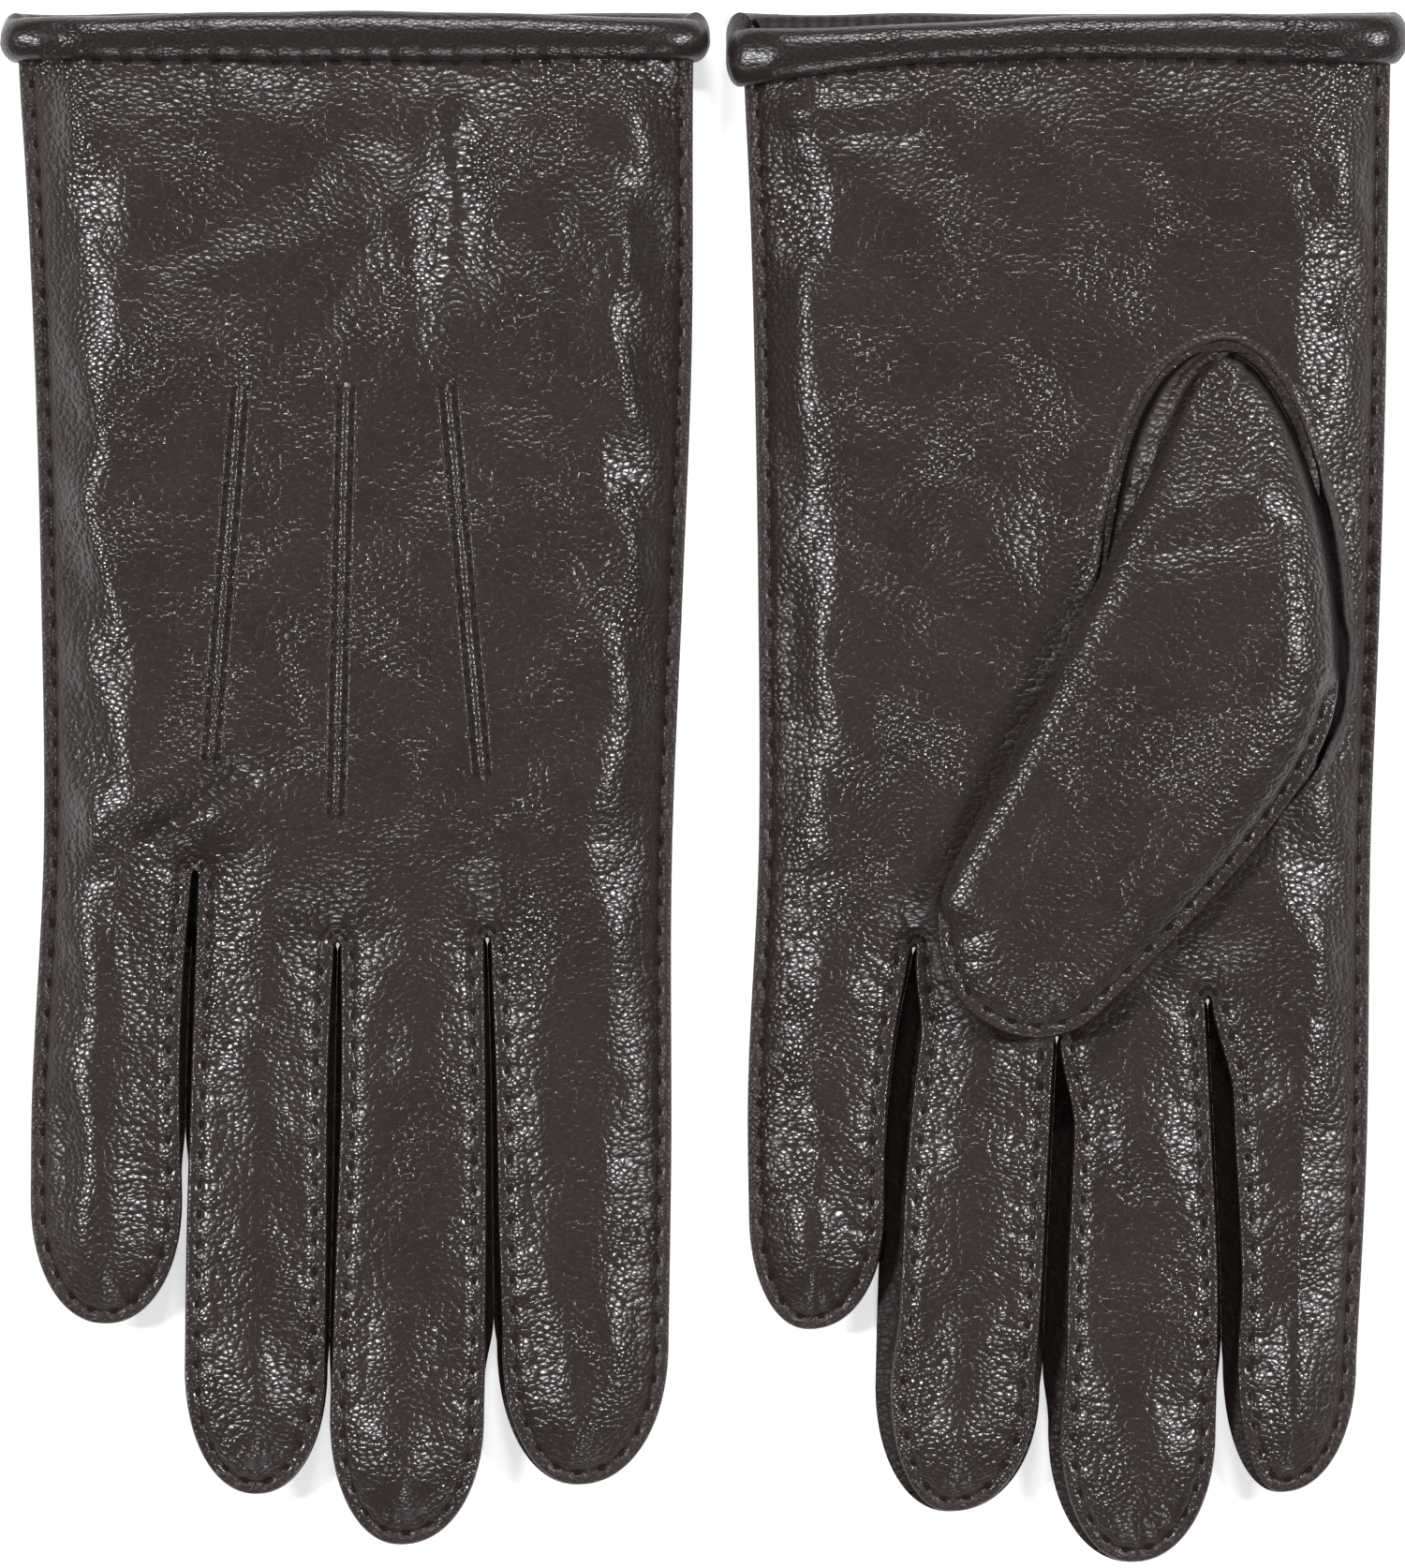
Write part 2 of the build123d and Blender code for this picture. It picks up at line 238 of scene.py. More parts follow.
# soft ridges and hollows of the upper skins: from x, y to x, y, width, height
rightGlove["folds"] = [
    (-96, 96, -84, 78, 9, 0.9), (-98, 70, -86, 70, 6, 0.5), (-84, 86, -62, 100, 6, -0.7),
    (-70, 108, -52, 96, 6, 0.7), (-40, 104, -40, 84, 3.4, -1.0), (-33, 100, -30, 80, 5, 0.8),
    (-48, 92, -47, 74, 4, 0.7), (-20, 106, -14, 76, 7, 0.5), (-87, -7.5, -73.7, 1.5, 2.0, -0.8),
    (-90, -2, -76, 7, 3.4, 0.7), (-92, 30, -90, 4, 8, 0.6), (-66, 40, -62, 8, 9, 0.5),
    (-28, 46, -24, 10, 8, 0.5), (-48, 30, -48, 0, 7, 0.4), (-74, 50, -70, 24, 6, -0.4),
    (-20, -4, -12, -20, 6, 0.5), (-98, -28, -96, -60, 5, 0.4), (-50, -44, -47, -66, 5, -0.4),
    (-72, -40, -71, -70, 5, 0.3), (-60, 88, -76, 84, 3, 0.5), (-56, 84, -60, 76, 2.6, -0.5),
    (-98, -56, -96, -70, 3.5, 0.5), (-99, -8, -98, -22, 3.5, 0.4), (-25, -80, -20, -100, 4, 0.45),
    (-72, -88, -71, -102, 4, 0.35), (-49, -92, -48, -110, 4, 0.35), (-28, -36, -27, -58, 3.5, 0.35)]
leftGlove["folds"] = [
    (22, 98, 44, 78, 10, 0.7), (50, 104, 62, 80, 7, 0.6), (76, 104, 92, 92, 7, 0.7),
    (84, 92, 104, 86, 5, -0.5), (14, 70, 20, 40, 6, 0.5), (30, 64, 46, 34, 8, 0.6), (22, 38, 32, 4, 8, 0.5),
    (14, 108, 30, 109, 1.8, 0.5), (12, 104, 34, 105, 1.8, -0.4), (10, 20, 22, -4, 4, -0.4),
    (12, -16, 30, -12, 2, -0.35), (14, -30, 26, -34, 2, 0.35), (60, 60, 54, 20, 6, -0.6),
    (96, -20, 104, -36, 5, 0.4), (10, -50, 26, -58, 2, 0.3), (10, -60, 24, -70, 1.6, -0.3),
    (88, -52, 102, -48, 4, 0.3), (60, -60, 78, -56, 3, 0.3), (62, -84, 78, -80, 3, -0.3),
    (34, -60, 50, -58, 3, 0.3), (34, -84, 48, -80, 3, -0.3), (18, -64, 17, -78, 4, 0.45),
    (41, -92, 40, -106, 4, 0.35), (70, -98, 69, -114, 4, 0.35), (94, -86, 93, -104, 4, 0.4)]


# ---- the outline of a glove

def edgeLines(glove, i):
    # the little-finger and index-finger edges of finger i as knots, from its top down
    finger = glove["fingers"][i]
    left = sorted(set(glove["outer"][0] + finger["left"])) if i == 0 else finger["left"]
    right = sorted(set(glove["outer"][1] + finger["right"])) if i == 3 else finger["right"]
    return left, right


def insetAt(glove, i, y, face):
    # how far the upper skin's little-finger edge stands inside the lower one's: nothing at the crotch, then
    # the full inset, and a little less towards the tip
    if face == "lower" or glove["fingers"][i]["inset"] == 0:
        return np.zeros(np.shape(y))
    top, low = glove["crotches"][i - 1][1], glove["fingers"][i]["tip"][2]
    share = smoothStep((top - y) / 16) * (1 - 0.35 * smoothStep((low + 14 - y) / 16))
    return glove["fingers"][i]["inset"] * share


def sideX(glove, i, y, face, which):
    # x of an edge of finger i at y; above its crotch it is the line where two neighbours meet
    knots = edgeLines(glove, i)[which]
    x = softLine(knots, y)
    if which == 0:
        x = x + insetAt(glove, i, y, face)
    inner = (i > 0) if which == 0 else (i < 3)
    if inner:
        crotch = glove["crotches"][i - 1 + which]
        if face == "lower":  # the lower skins close the slit from below, down to where the ends turn away
            facing = softLine(edgeLines(glove, i - 1 + 2 * which)[1 - which], y)
            wide = glove["side"] == "right" and i + which == 1
            low = max(glove["fingers"][k]["tip"][2] for k in (i, i - 1 + 2 * which))
            shutEnd, fade = (crotch[1] - 41, 8) if wide else (low + 4, 10)
            shut = smoothStep((crotch[1] - y) / 1.5) * (1 - smoothStep((shutEnd - y) / fade))
            x = x + (2 * which - 1) * (np.abs(facing - x) / 2 - 0.004) * shut
        turn = np.clip((crotch[1] - y) / 0.9, 0, 1)
        x = np.where(turn > 0, crotch[0] + (x - crotch[0]) * np.sqrt(1 - (1 - turn) ** 2), crotch[0])
    return x


def tipArc(glove, i, face, count):
    # the round end as a superellipse, from the little-finger side to the index side
    tipX, tipY, startY = glove["fingers"][i]["tip"]
    turn = np.linspace(0, np.pi / 2, count)
    reach = np.cos(turn) ** (2 / tipRoundness)
    drop = startY - (startY - tipY) * np.sin(turn) ** (2 / tipRoundness)
    left, right = (float(sideX(glove, i, np.array(startY), face, k)) for k in (0, 1))
    leftPart = np.stack([tipX - (tipX - left) * reach, drop], 1)
    rightPart = np.stack([tipX + (right - tipX) * reach, drop], 1)
    return leftPart, rightPart[::-1]


def sideRun(glove, i, topY, pitch):
    # places in y down one side, from topY to where the round end starts
    startY = glove["fingers"][i]["tip"][2]
    return np.linspace(topY, startY, int((topY - startY) / pitch) + 2)


def chainOf(glove, i, face):
    # the sewn edge of finger i, from the top of its little-finger side round the tip to the top of the other
    parts, levels = [], []
    sewnTop = [124.5 if i == 0 else glove["crotches"][i - 1][1], 124.5 if i == 3 else glove["crotches"][i][1]]
    lift = {"upper": leather["stripHalf"], "lower": -leather["stripHalf"]}[face]
    arcs = tipArc(glove, i, face, 70)
    startY = glove["fingers"][i]["tip"][2]
    for which in (0, 1):
        y = sideRun(glove, i, sewnTop[which], 0.3)
        side = np.stack([sideX(glove, i, y, face, which), y], 1)
        forked = (i > 0) if which == 0 else (i < 3)
        down = glove["middle"] + lift * forked * (1 - 0.45 * smoothStep((startY + 12 - y) / 14))
        round_ = glove["middle"] + lift * forked * 0.55 * (1 - smoothStep(np.linspace(0, 1, 70) * 1.15))
        parts += [side, arcs[0][1:]] if which == 0 else [arcs[1][1:-1], side[::-1]]
        levels += [down, round_[1:]] if which == 0 else [round_[::-1][1:-1], down[::-1]]
    return np.concatenate(parts), np.concatenate(levels)


def seamOf(glove, face):
    # every sewn edge of a face as short segments, with the run along each and the height where the edges meet
    starts, ends, runs, levels = [], [], [], []
    for i in range(4):
        line, level = chainOf(glove, i, face)
        step = np.linalg.norm(np.diff(line, axis=0), axis=1)
        starts.append(line[:-1])
        ends.append(line[1:])
        runs.append(np.r_[0, np.cumsum(step)][:-1])
        levels.append(level[:-1])
    return [np.concatenate(k) for k in (starts, ends, runs, levels)]


def nearSeam(seam, x, y):
    # exact distance to the nearest sewn edge, the run along it there, and its height
    starts, ends, runs, levels = seam
    _, index = nearest((starts + ends) / 2, x, y)
    best = None
    for shift in (-1, 0, 1):
        k = np.clip(index + shift, 0, len(runs) - 1)
        ax, ay = starts[k, 0], starts[k, 1]
        dx, dy = ends[k, 0] - ax, ends[k, 1] - ay
        size = np.maximum(np.hypot(dx, dy), 1e-9)
        t = np.clip(((x - ax) * dx + (y - ay) * dy) / size ** 2, 0, 1)
        gap = np.hypot(x - ax - t * dx, y - ay - t * dy)
        found = (gap, runs[k] + t * size, levels[k])
        if best is None:
            best = found
        else:
            closer = found[0] < best[0]
            best = tuple(np.where(closer, new, old) for new, old in zip(found, best))
    return best


# ---- how high the skins stand

pocketTop = 8.2
broad = waves(14, 14, 48, 11)
small = waves(18, 4.5, 12, 12)
puffs = waves(16, 2.4, 5.0, 13)


def rawEdge(gap):
    # the thickness of one leather, rounded off at its cut edge as a quarter circle
    return leather["thickness"] * np.sqrt(1 - (1 - np.clip(gap / leather["rawEdge"], 0, 1)) ** 2)


def fromStitch(run):
    # distance along the seam to the nearest stitch
    return np.abs((run / stitches["pitch"]) % 1 - 0.5) * stitches["pitch"]


def grooveAt(gap, phase, steady, spread):
    # 1 in the stitching line at a stitch, falling to the steady share between two stitches
    return bellAt((gap - stitches["inset"]) / 0.5) * (steady + (1 - steady) * bellAt(phase / spread))


def skinHeight(glove, face, x, y, marks=False):
    # flange: from the raw edge to the stitches, as high as one leather over the height where the edges meet;
    # body: a shoulder from the stitches to the crown, with folds and ripples that fade at the seam;
    # the groove of the stitches is deepest at each stitch, and the leather puffs up between them;
    # with marks, also the painted shade of the skin: 1 in a stitch, a band along the outer edges, up to 2
    # deep in a slit or under the thumb's edge
    if face not in glove.setdefault("seams", {}):
        glove["seams"][face] = seamOf(glove, face)
    gap, run, level = nearSeam(glove["seams"][face], x, y)
    inFinger = smoothStep((glove["joinY"] + 14 - y) / 34)
    seed = {"right": 0.0, "left": 37.0}[glove["side"]]
    width = (12.0 - 2.5 * inFinger) * (1 + 0.2 * ripple(x + seed, y, broad, 0.6))
    edge = rawEdge(gap)
    rise = slope((gap - stitches["inset"]) / width, 1.7)
    phase = fromStitch(run)
    groove = grooveAt(gap, phase, 0.12, 1.3)
    beat = np.cos(2 * np.pi * run / stitches["pitch"])
    pucker = bellAt((gap - 3.4) / 1.3) * (1 - bellAt(phase / 1.2)) * 0.26
    pucker += bellAt((gap - 1.1) / 0.7) * 0.12 * beat
    inside = smoothStep((gap - 2.6) / 6)
    wobble = (0.42 - 0.14 * inFinger) * ripple(x + seed, y, broad, 1.25)
    wobble += (0.1 + 0.02 * inFinger) * ripple(x + seed, y, small, 1.5 + inFinger)
    wobble += 0.022 * ripple(x, y + seed, puffs, 1.6)
    outside = smoothStep(1 - np.abs(level - glove["middle"]) / 0.6)
    # painted shade: stitch grooves darker and redder where their dimples would lie in shade, partly the
    # thread's tint, and a darker cut edge
    shade = np.maximum(np.square(groove), 0.35 * bellAt(gap / 0.3))
    # painted shade: a dark band along the outer sewn edges, fading over about 5 mm, where the sides slope
    # away from the light
    shade = np.maximum(shade, 1.0 * outside * bellAt(gap / 4.6))
    tuck = smoothStep((y - 107) / 9.5)
    gather = bellAt((y - 113.6) / 2.2) * np.cos(2 * np.pi * x / stitches["pitch"]) * smoothStep((gap - 3) / 5)
    if face == "upper":
        crown = softLine(glove["crown"], y) - 0.9 * tuck
        wobble = wobble + 0.08 * gather
        body = (crown - level - edge) * rise
        z = level + edge + body + inside * (wobble + 1.3 * folds(x, y, glove["folds"])) + pucker
        z = z - stitches["groove"] * groove
        # painted shadow on the palm, in a band round the left thumb's outline
        if marks and glove["side"] == "left":
            shade = np.maximum(shade, 1.3 * bellAt(nearest(thumbLines["left"], x, y)[0] / 2.2))
        return (z, shade) if marks else z
    rise = shoulder((gap - stitches["inset"]) / width, 2.0)
    z = level - edge - (level - edge - leather["rest"]) * rise
    z = z + inside * 0.3 * np.abs(wobble) - pucker + 0.3 * groove
    if glove["side"] == "right":
        z = z + np.maximum(pocketTop - z, 0) * pocketShare(x, y)
    z = np.maximum(z, 0.05)
    # painted black shade on the lower skins' lips in the slits between the fingers
    forked = level - glove["middle"] + leather["stripHalf"] < 2.0
    slit = forked * smoothStep((glove["joinY"] + 14 - y) / 10)
    shade = np.maximum(shade, 2.0 * slit * (1 - smoothStep((gap - 0.5) / 1.0)))
    return (z, shade) if marks else z


def skinOf(glove, face):
    # the height of one skin as a function of x and y
    return lambda x, y: skinHeight(glove, face, x, y)


# ---- the right thumb lies in a hollow under the palm; the left thumb lies over its palm

def pocketShare(x, y):
    # 1 over the right thumb, falling to 0 past its edge
    gap, _ = nearest(thumbLines["right"], x, y)
    inside = insideOf(thumbLines["right"], x, y)
    return np.where(inside, 1.0, 1 - smoothStep((gap - 0.6) / 3.4))


def insideOf(line, x, y):
    # whether each place lies inside a closed line: an odd number of its sides passes above it
    count = np.zeros(np.shape(x), int)
    for a, b in zip(line, np.roll(line, -1, axis=0)):
        crosses = (a[0] > x) != (b[0] > x)
        if a[0] != b[0]:
            count += crosses & (y < a[1] + (b[1] - a[1]) * (x - a[0]) / (b[0] - a[0]))
    return count % 2 == 1


def closedCurve(corners, step):
    # a smooth closed line through corners: a periodic cubic through the neighbouring points
    p = np.array(corners, float)
    n = len(p)
    t = np.linspace(0, n, n * 24, endpoint=False)
    i = t.astype(int)
    f = (t - i)[:, None]
    a, b, c, d = (p[(i + k) % n] for k in (-1, 0, 1, 2))
    m0, m1 = (c - a) / 2, (d - b) / 2
    line = b + f * m0 + f ** 2 * (3 * (c - b) - 2 * m0 - m1) + f ** 3 * (2 * (b - c) + m0 + m1)
    line, _ = spaced(np.concatenate([line, line[:1]]), step)
    return line[:-1]


leftThumbCorners = [(81.5, 67.6), (76.5, 60), (68, 43), (58, 23), (47, 1), (38.6, -15.5), (37.6, -25),
                    (40.3, -33.3), (46, -38.3), (53, -40.2), (60, -38.6), (66.5, -33.2), (77, -22.5),
                    (88, -10), (96.8, 2.5), (101.0, 13), (101.3, 25), (99.2, 41), (94.8, 55.6), (89.4, 65.2),
                    (85, 68.2)]


def roundedTriangle(corners, radius, step):
    # the outline of a triangle grown all round by a radius: its furthest corner each way, plus the radius
    turn = np.linspace(0, 2 * np.pi, 721)
    way = np.stack([np.cos(turn), np.sin(turn)], 1)
    corner = np.array(corners, float)[(way @ np.array(corners, float).T).argmax(1)]
    line, _ = spaced(corner + radius * way, step)
    return line[:-1]


outlineStep = 0.4
thumbLines = {"left": closedCurve(leftThumbCorners, outlineStep),
              "right": roundedTriangle([(-77.5, -10.0), (-25.0, 12.0), (-27.5, 54.0)], 12.0, outlineStep)}
leftThumb = {"top": (84, 60), "tip": (53.5, -24.5), "foldStart": (82.5, 68), "foldEnd": (37.6, -21),
             "crown": [(0, 17.6), (18, 20.6), (45, 21.6), (75, 21.0), (96, 19.6)], "under": 13.9,
             "folds": [(69, 37, 97, 43, 1.5, -0.55), (70, 43, 94, 49, 3, 0.5), (72, 31, 98, 36, 3.5, 0.5),
                       (84, 62, 88, 46, 4, 0.6), (92, 24, 84, 4, 4, 0.8), (74, 6, 66, -14, 4, -0.5),
                       (60, -2, 50, -20, 4, 0.5), (80, -2, 70, -18, 3, 0.5), (50, -30, 62, -32, 2, 0.35)]}
rightThumb = {"top": (-29, 50), "tip": (-72, -9), "under": 0.25, "level": 3.8, "upper": 7.4}


def foldLine():
    # where the left thumb's folded edge starts, the direction along it, and the direction across it
    start = np.array(leftThumb["foldStart"], float)
    ahead = np.array(leftThumb["foldEnd"]) - start
    ahead = ahead / np.linalg.norm(ahead)
    return start, ahead, np.array([-ahead[1], ahead[0]])


def thumbEdge(x, y):
    # distance to the left thumb's edge; at the nearest place on it the run along it, how far the edge is
    # folded and how far it is sewn (0 to 1 each), and its height
    line = thumbLines["left"]
    gap, index = nearest(line, x, y)
    place = line[index]
    start, ahead, _ = foldLine()
    toFold = np.abs((place[..., 0] - start[0]) * ahead[1] - (place[..., 1] - start[1]) * ahead[0])
    folded = (1 - smoothStep((toFold - 1.6) / 3)) * smoothStep((place[..., 1] + 24) / 6)
    sewn = (1 - folded) * (1 - smoothStep((place[..., 1] - 12) / 8))
    return gap, index * outlineStep, folded, sewn, 13.4 + 2.6 * folded + 2.6 * sewn


def thumbHeight(x, y, marks=False):
    # the left thumb's upper skin: a soft roll along its folded edge, a sewn flange round its tip and lower
    # side, and a low edge along the oval seam, all rising to a crown that follows its length
    gap, run, folded, sewn, level = thumbEdge(x, y)
    axis = np.array(leftThumb["tip"]) - np.array(leftThumb["top"])
    size = np.linalg.norm(axis)
    along = ((x - leftThumb["top"][0]) * axis[0] + (y - leftThumb["top"][1]) * axis[1]) / size
    crown = softLine(leftThumb["crown"], np.clip(along, 0, 96))
    edge = (0.2 + 0.8 * sewn) * rawEdge(gap)
    width = (9 - 3.5 * folded) * (0.62 + 0.38 * smoothStep((along + 6) / 26))
    start = (gap - stitches["inset"] * sewn) / width
    rise = (1 - sewn) * shoulder(start, 2.0) + sewn * slope(start)
    phase = fromStitch(run)
    groove = sewn * grooveAt(gap, phase, 0.25, 1.3)
    pucker = sewn * bellAt((gap - 4.0) / 1.5) * (1 - bellAt(phase / 1.2)) * 0.32
    inside = smoothStep((gap - 2) / 6)
    wobble = 0.22 * ripple(x + 11, y, broad) + 0.1 * ripple(x + 11, y, small, 1.5)
    wobble += 0.02 * ripple(x, y, puffs, 1.6)
    z = level + edge + (crown - level - edge) * rise + pucker - stitches["groove"] * groove
    z = z + inside * (wobble + folds(x, y, leftThumb["folds"]))
    # painted shade: darker stitch grooves and cut edge on the sewn flange, and a dark band along the thumb's
    # edge at the oval seam
    shade = np.maximum(np.square(groove), 0.35 * sewn * bellAt(gap / 0.3))
    shade = np.maximum(shade, 1.9 * (1 - sewn) * (1 - folded) * bellAt(gap / 1.7))
    return (z, shade) if marks else z


def thumbUnder(x, y):
    # its lower skin: from the same edge down to just over the palm
    gap, _, _, sewn, level = thumbEdge(x, y)
    top = level - sewn * rawEdge(gap)
    return top - np.maximum(top - leftThumb["under"], -0.4) * shoulder((gap - 1.8 * sewn) / 3.5, 2.2)


def middleOf(line, focus):
    # the nearest point of a straight middle line for each point of an outline
    a, b = (np.array(k, float) for k in focus)
    axis = b - a
    t = np.clip(((line - a) @ axis) / (axis @ axis), 0, 1)
    return a + t[:, None] * axis


def inwardGrid(line, middle):
    # steps that are close together at the sewn edge, then even to the middle line
    span = np.linalg.norm(middle - line, axis=1)
    last = edgeSteps[-1]
    even = np.linspace(0, 1, 12)[1:]
    reach = np.concatenate([np.broadcast_to(edgeSteps, (len(line), len(edgeSteps))),
                            last + (np.maximum(span, last + 0.1)[:, None] - last) * even], 1)
    reach = np.minimum(reach, span[:, None])
    way = (middle - line) / np.maximum(span, 1e-6)[:, None]
    return line[:, None, :] + way[:, None, :] * reach[..., None]


def lifted(flat, z):
    return np.concatenate([flat, np.asarray(z)[..., None]], -1)


# ---- the pieces of a glove

def handSheet(glove, face, material):
    # columns across, close together at the sewn sides, and rows from the cuff down to the fingers
    top = glove["cuffY"] + 2.5
    y = np.r_[np.linspace(top, glove["joinY"] + 0.06, 186), glove["joinY"]]
    left, right = sideX(glove, 0, y, face, 0), sideX(glove, 3, y, face, 1)
    last = edgeSteps[-1]
    inner = left[:, None] + last + (right - left - 2 * last)[:, None] * np.linspace(0, 1, 138)[1:-1]
    x = np.concatenate([left[:, None] + edgeSteps, inner, right[:, None] - edgeSteps[::-1]], 1)
    yy = np.broadcast_to(y[:, None], x.shape)
    z, shade = skinHeight(glove, face, x, yy, marks=True)
    grid = np.stack([x, yy, z], -1)
    name = glove["side"] + "Hand" + face.capitalize()
    return addMesh(name, [(grid, {"shade": shade})], material, outOf[face])


def fingerSheet(glove, i, face, material):
    # rows follow the sewn edge down one side, round the tip and up the other; columns run to the middle line
    finger = glove["fingers"][i]
    y = sideRun(glove, i, glove["joinY"], 0.55)
    y = np.sort(np.r_[y, glove["joinY"] - 0.06])[::-1]
    left, right = sideX(glove, i, y, face, 0), sideX(glove, i, y, face, 1)
    spine = np.stack([(left + right) / 2, y], 1)
    arcs = tipArc(glove, i, face, 44)
    tipCount = len(arcs[0]) + len(arcs[1]) - 2
    line = np.concatenate([np.stack([left, y], 1), arcs[0][1:], arcs[1][1:-1], np.stack([right, y], 1)[::-1]])
    middle = np.concatenate([spine, np.repeat(spine[-1:], tipCount - 1, 0), spine[::-1]])[:len(line)]
    flat = inwardGrid(line, middle)
    z, shade = skinHeight(glove, face, flat[..., 0], flat[..., 1], marks=True)
    name = glove["side"] + finger["name"].capitalize() + face.capitalize()
    return addMesh(name, [(lifted(flat, z), {"shade": shade})], material, outOf[face])


def channelDepth(q):
    # how far a side strip is drawn in: most half way between its two edges, where q is 0.5
    return 2.7 * (1 - np.abs(2 * q - 1) ** 2.4)


def forkStrip(glove, i, which, material):
    # the side strip of a finger: a shallow channel from the upper skin's edge to the lower one's
    upper, upLevel = chainOf(glove, i, "upper")
    lower, lowLevel = chainOf(glove, i, "lower")
    half = len(upper) // 2
    part = slice(0, half) if which == 0 else slice(half, len(upper))
    a, b, za, zb = upper[part], lower[part], upLevel[part], lowLevel[part]
    a, b, za, zb = (k[::2] for k in (a, b, za, zb))
    along = np.gradient(b, axis=0)
    along /= np.linalg.norm(along, axis=1)[:, None]
    inward = np.stack([-along[:, 1], along[:, 0]], 1)
    open_ = np.clip((za - zb) / (2 * leather["stripHalf"]), 0, 1)
    q = np.linspace(0, 1, 15)
    deep = channelDepth(q)
    flat = a[:, None] + (b - a)[:, None] * smoothStep(q)[:, None]
    flat = flat + inward[:, None] * (deep * open_[:, None])[..., None]
    z = za[:, None] + (zb - za)[:, None] * q
    z = z + 0.12 * ripple(flat[..., 1], flat[..., 0] + z, puffs) * open_[:, None]
    finger = glove["side"] + glove["fingers"][i]["name"].capitalize()
    name = finger + "Fork" + ("LittleSide", "IndexSide")[which]
    # painted shade over the whole strip, which lies deep in its slit
    return addMesh(name, [(lifted(flat, z), {"shade": 1.4})], material, ((-1, 1)[which], 0, 0))


def rods(name, centre, along, up, length, radius, material):
    # many short threads at once: a ring carried along each, with ends that bend down into the leather
    steps, turns = np.linspace(-1, 1, 6), np.linspace(0, 2 * np.pi, 7)[:-1]
    across = np.cross(up, along)
    thick = radius * np.sqrt(np.clip(1 - np.abs(steps) ** 4, 0.05, 1))
    dip = -1.3 * radius * np.abs(steps) ** 3
    ring = across[:, None, None] * np.cos(turns)[:, None] + up[:, None, None] * np.sin(turns)[:, None]
    line = centre[:, None] + along[:, None] * (steps * length / 2)[:, None] + up[:, None] * dip[:, None]
    grid = line[:, :, None] + ring * thick[:, None, None]
    count = len(centre)
    index = np.arange(count * 36).reshape(count, 6, 6)
    wrap = np.concatenate([index, index[..., :1]], 2)
    corners = wrap[:, :-1, :-1], wrap[:, :-1, 1:], wrap[:, 1:, 1:], wrap[:, 1:, :-1]
    faces = np.stack(corners, -1).reshape(-1, 4)
    caps = np.concatenate([index[:, 0, ::-1], index[:, -1]]).tolist()
    mesh = bpy.data.meshes.new(name)
    mesh.from_pydata((grid.reshape(-1, 3) * mm).tolist(), [], faces.tolist() + caps)
    return linked(name, mesh, material)


def slopeFrame(heightAt, place, along, sign):
    # the direction of a stitch and the way out of the leather, from the heights around it
    reach = 0.4
    x, y = place[:, 0], place[:, 1]
    ahead = heightAt(x + along[:, 0] * reach, y + along[:, 1] * reach)
    behind = heightAt(x - along[:, 0] * reach, y - along[:, 1] * reach)
    way = lifted(along * 2 * reach, ahead - behind)
    way /= np.linalg.norm(way, axis=1)[:, None]
    side = lifted(np.stack([along[:, 1], -along[:, 0]], 1), np.zeros(len(along)))
    up = np.cross(side, way)
    up *= sign * np.sign(up[:, 2:3])
    return way, up / np.linalg.norm(up, axis=1)[:, None]


def stitchPlaces(line, run):
    # the middle of every stitch, inside a sewn edge by the inset, and the direction of the seam there
    at = (np.arange(int(run[-1] / stitches["pitch"])) + 0.5) * stitches["pitch"]
    p, ahead = (np.stack([np.interp(at + far, run, line[:, k]) for k in (0, 1)], 1) for far in (0, 0.3))
    way = (ahead - p) / np.linalg.norm(ahead - p, axis=1)[:, None]
    return p + np.stack([-way[:, 1], way[:, 0]], 1) * stitches["inset"], way


def seamThreads(glove, face, material):
    # stitches along every sewn edge, in one piece for the hand and one for each finger
    sign = 1 if face == "upper" else -1
    pieces = {}
    for i in range(4):
        line, _ = chainOf(glove, i, face)
        run = np.r_[0, np.cumsum(np.linalg.norm(np.diff(line, axis=0), axis=1))]
        p, way = stitchPlaces(line, run)
        z = skinHeight(glove, face, p[:, 0], p[:, 1]) + sign * stitches["proud"]
        keep = (p[:, 1] < glove["cuffY"] - 3) & (z * sign > (0.3 if face == "upper" else -20))
        inHand = p[:, 1] > glove["joinY"]
        for key, mask in ((glove["side"] + "Hand", keep & inHand),
                          (glove["side"] + glove["fingers"][i]["name"].capitalize(), keep & ~inHand)):
            pieces.setdefault(key, []).append((lifted(p, z)[mask], way[mask]))
    made = {}
    for key, parts in pieces.items():
        centre, way = (np.concatenate([k[n] for k in parts]) for n in (0, 1))
        along, up = slopeFrame(skinOf(glove, face), centre, way, sign)
        made[key] = rods(key + "Thread" + face.capitalize(), centre, along, up, stitches["length"],
                         stitches["radius"], material)
    return made


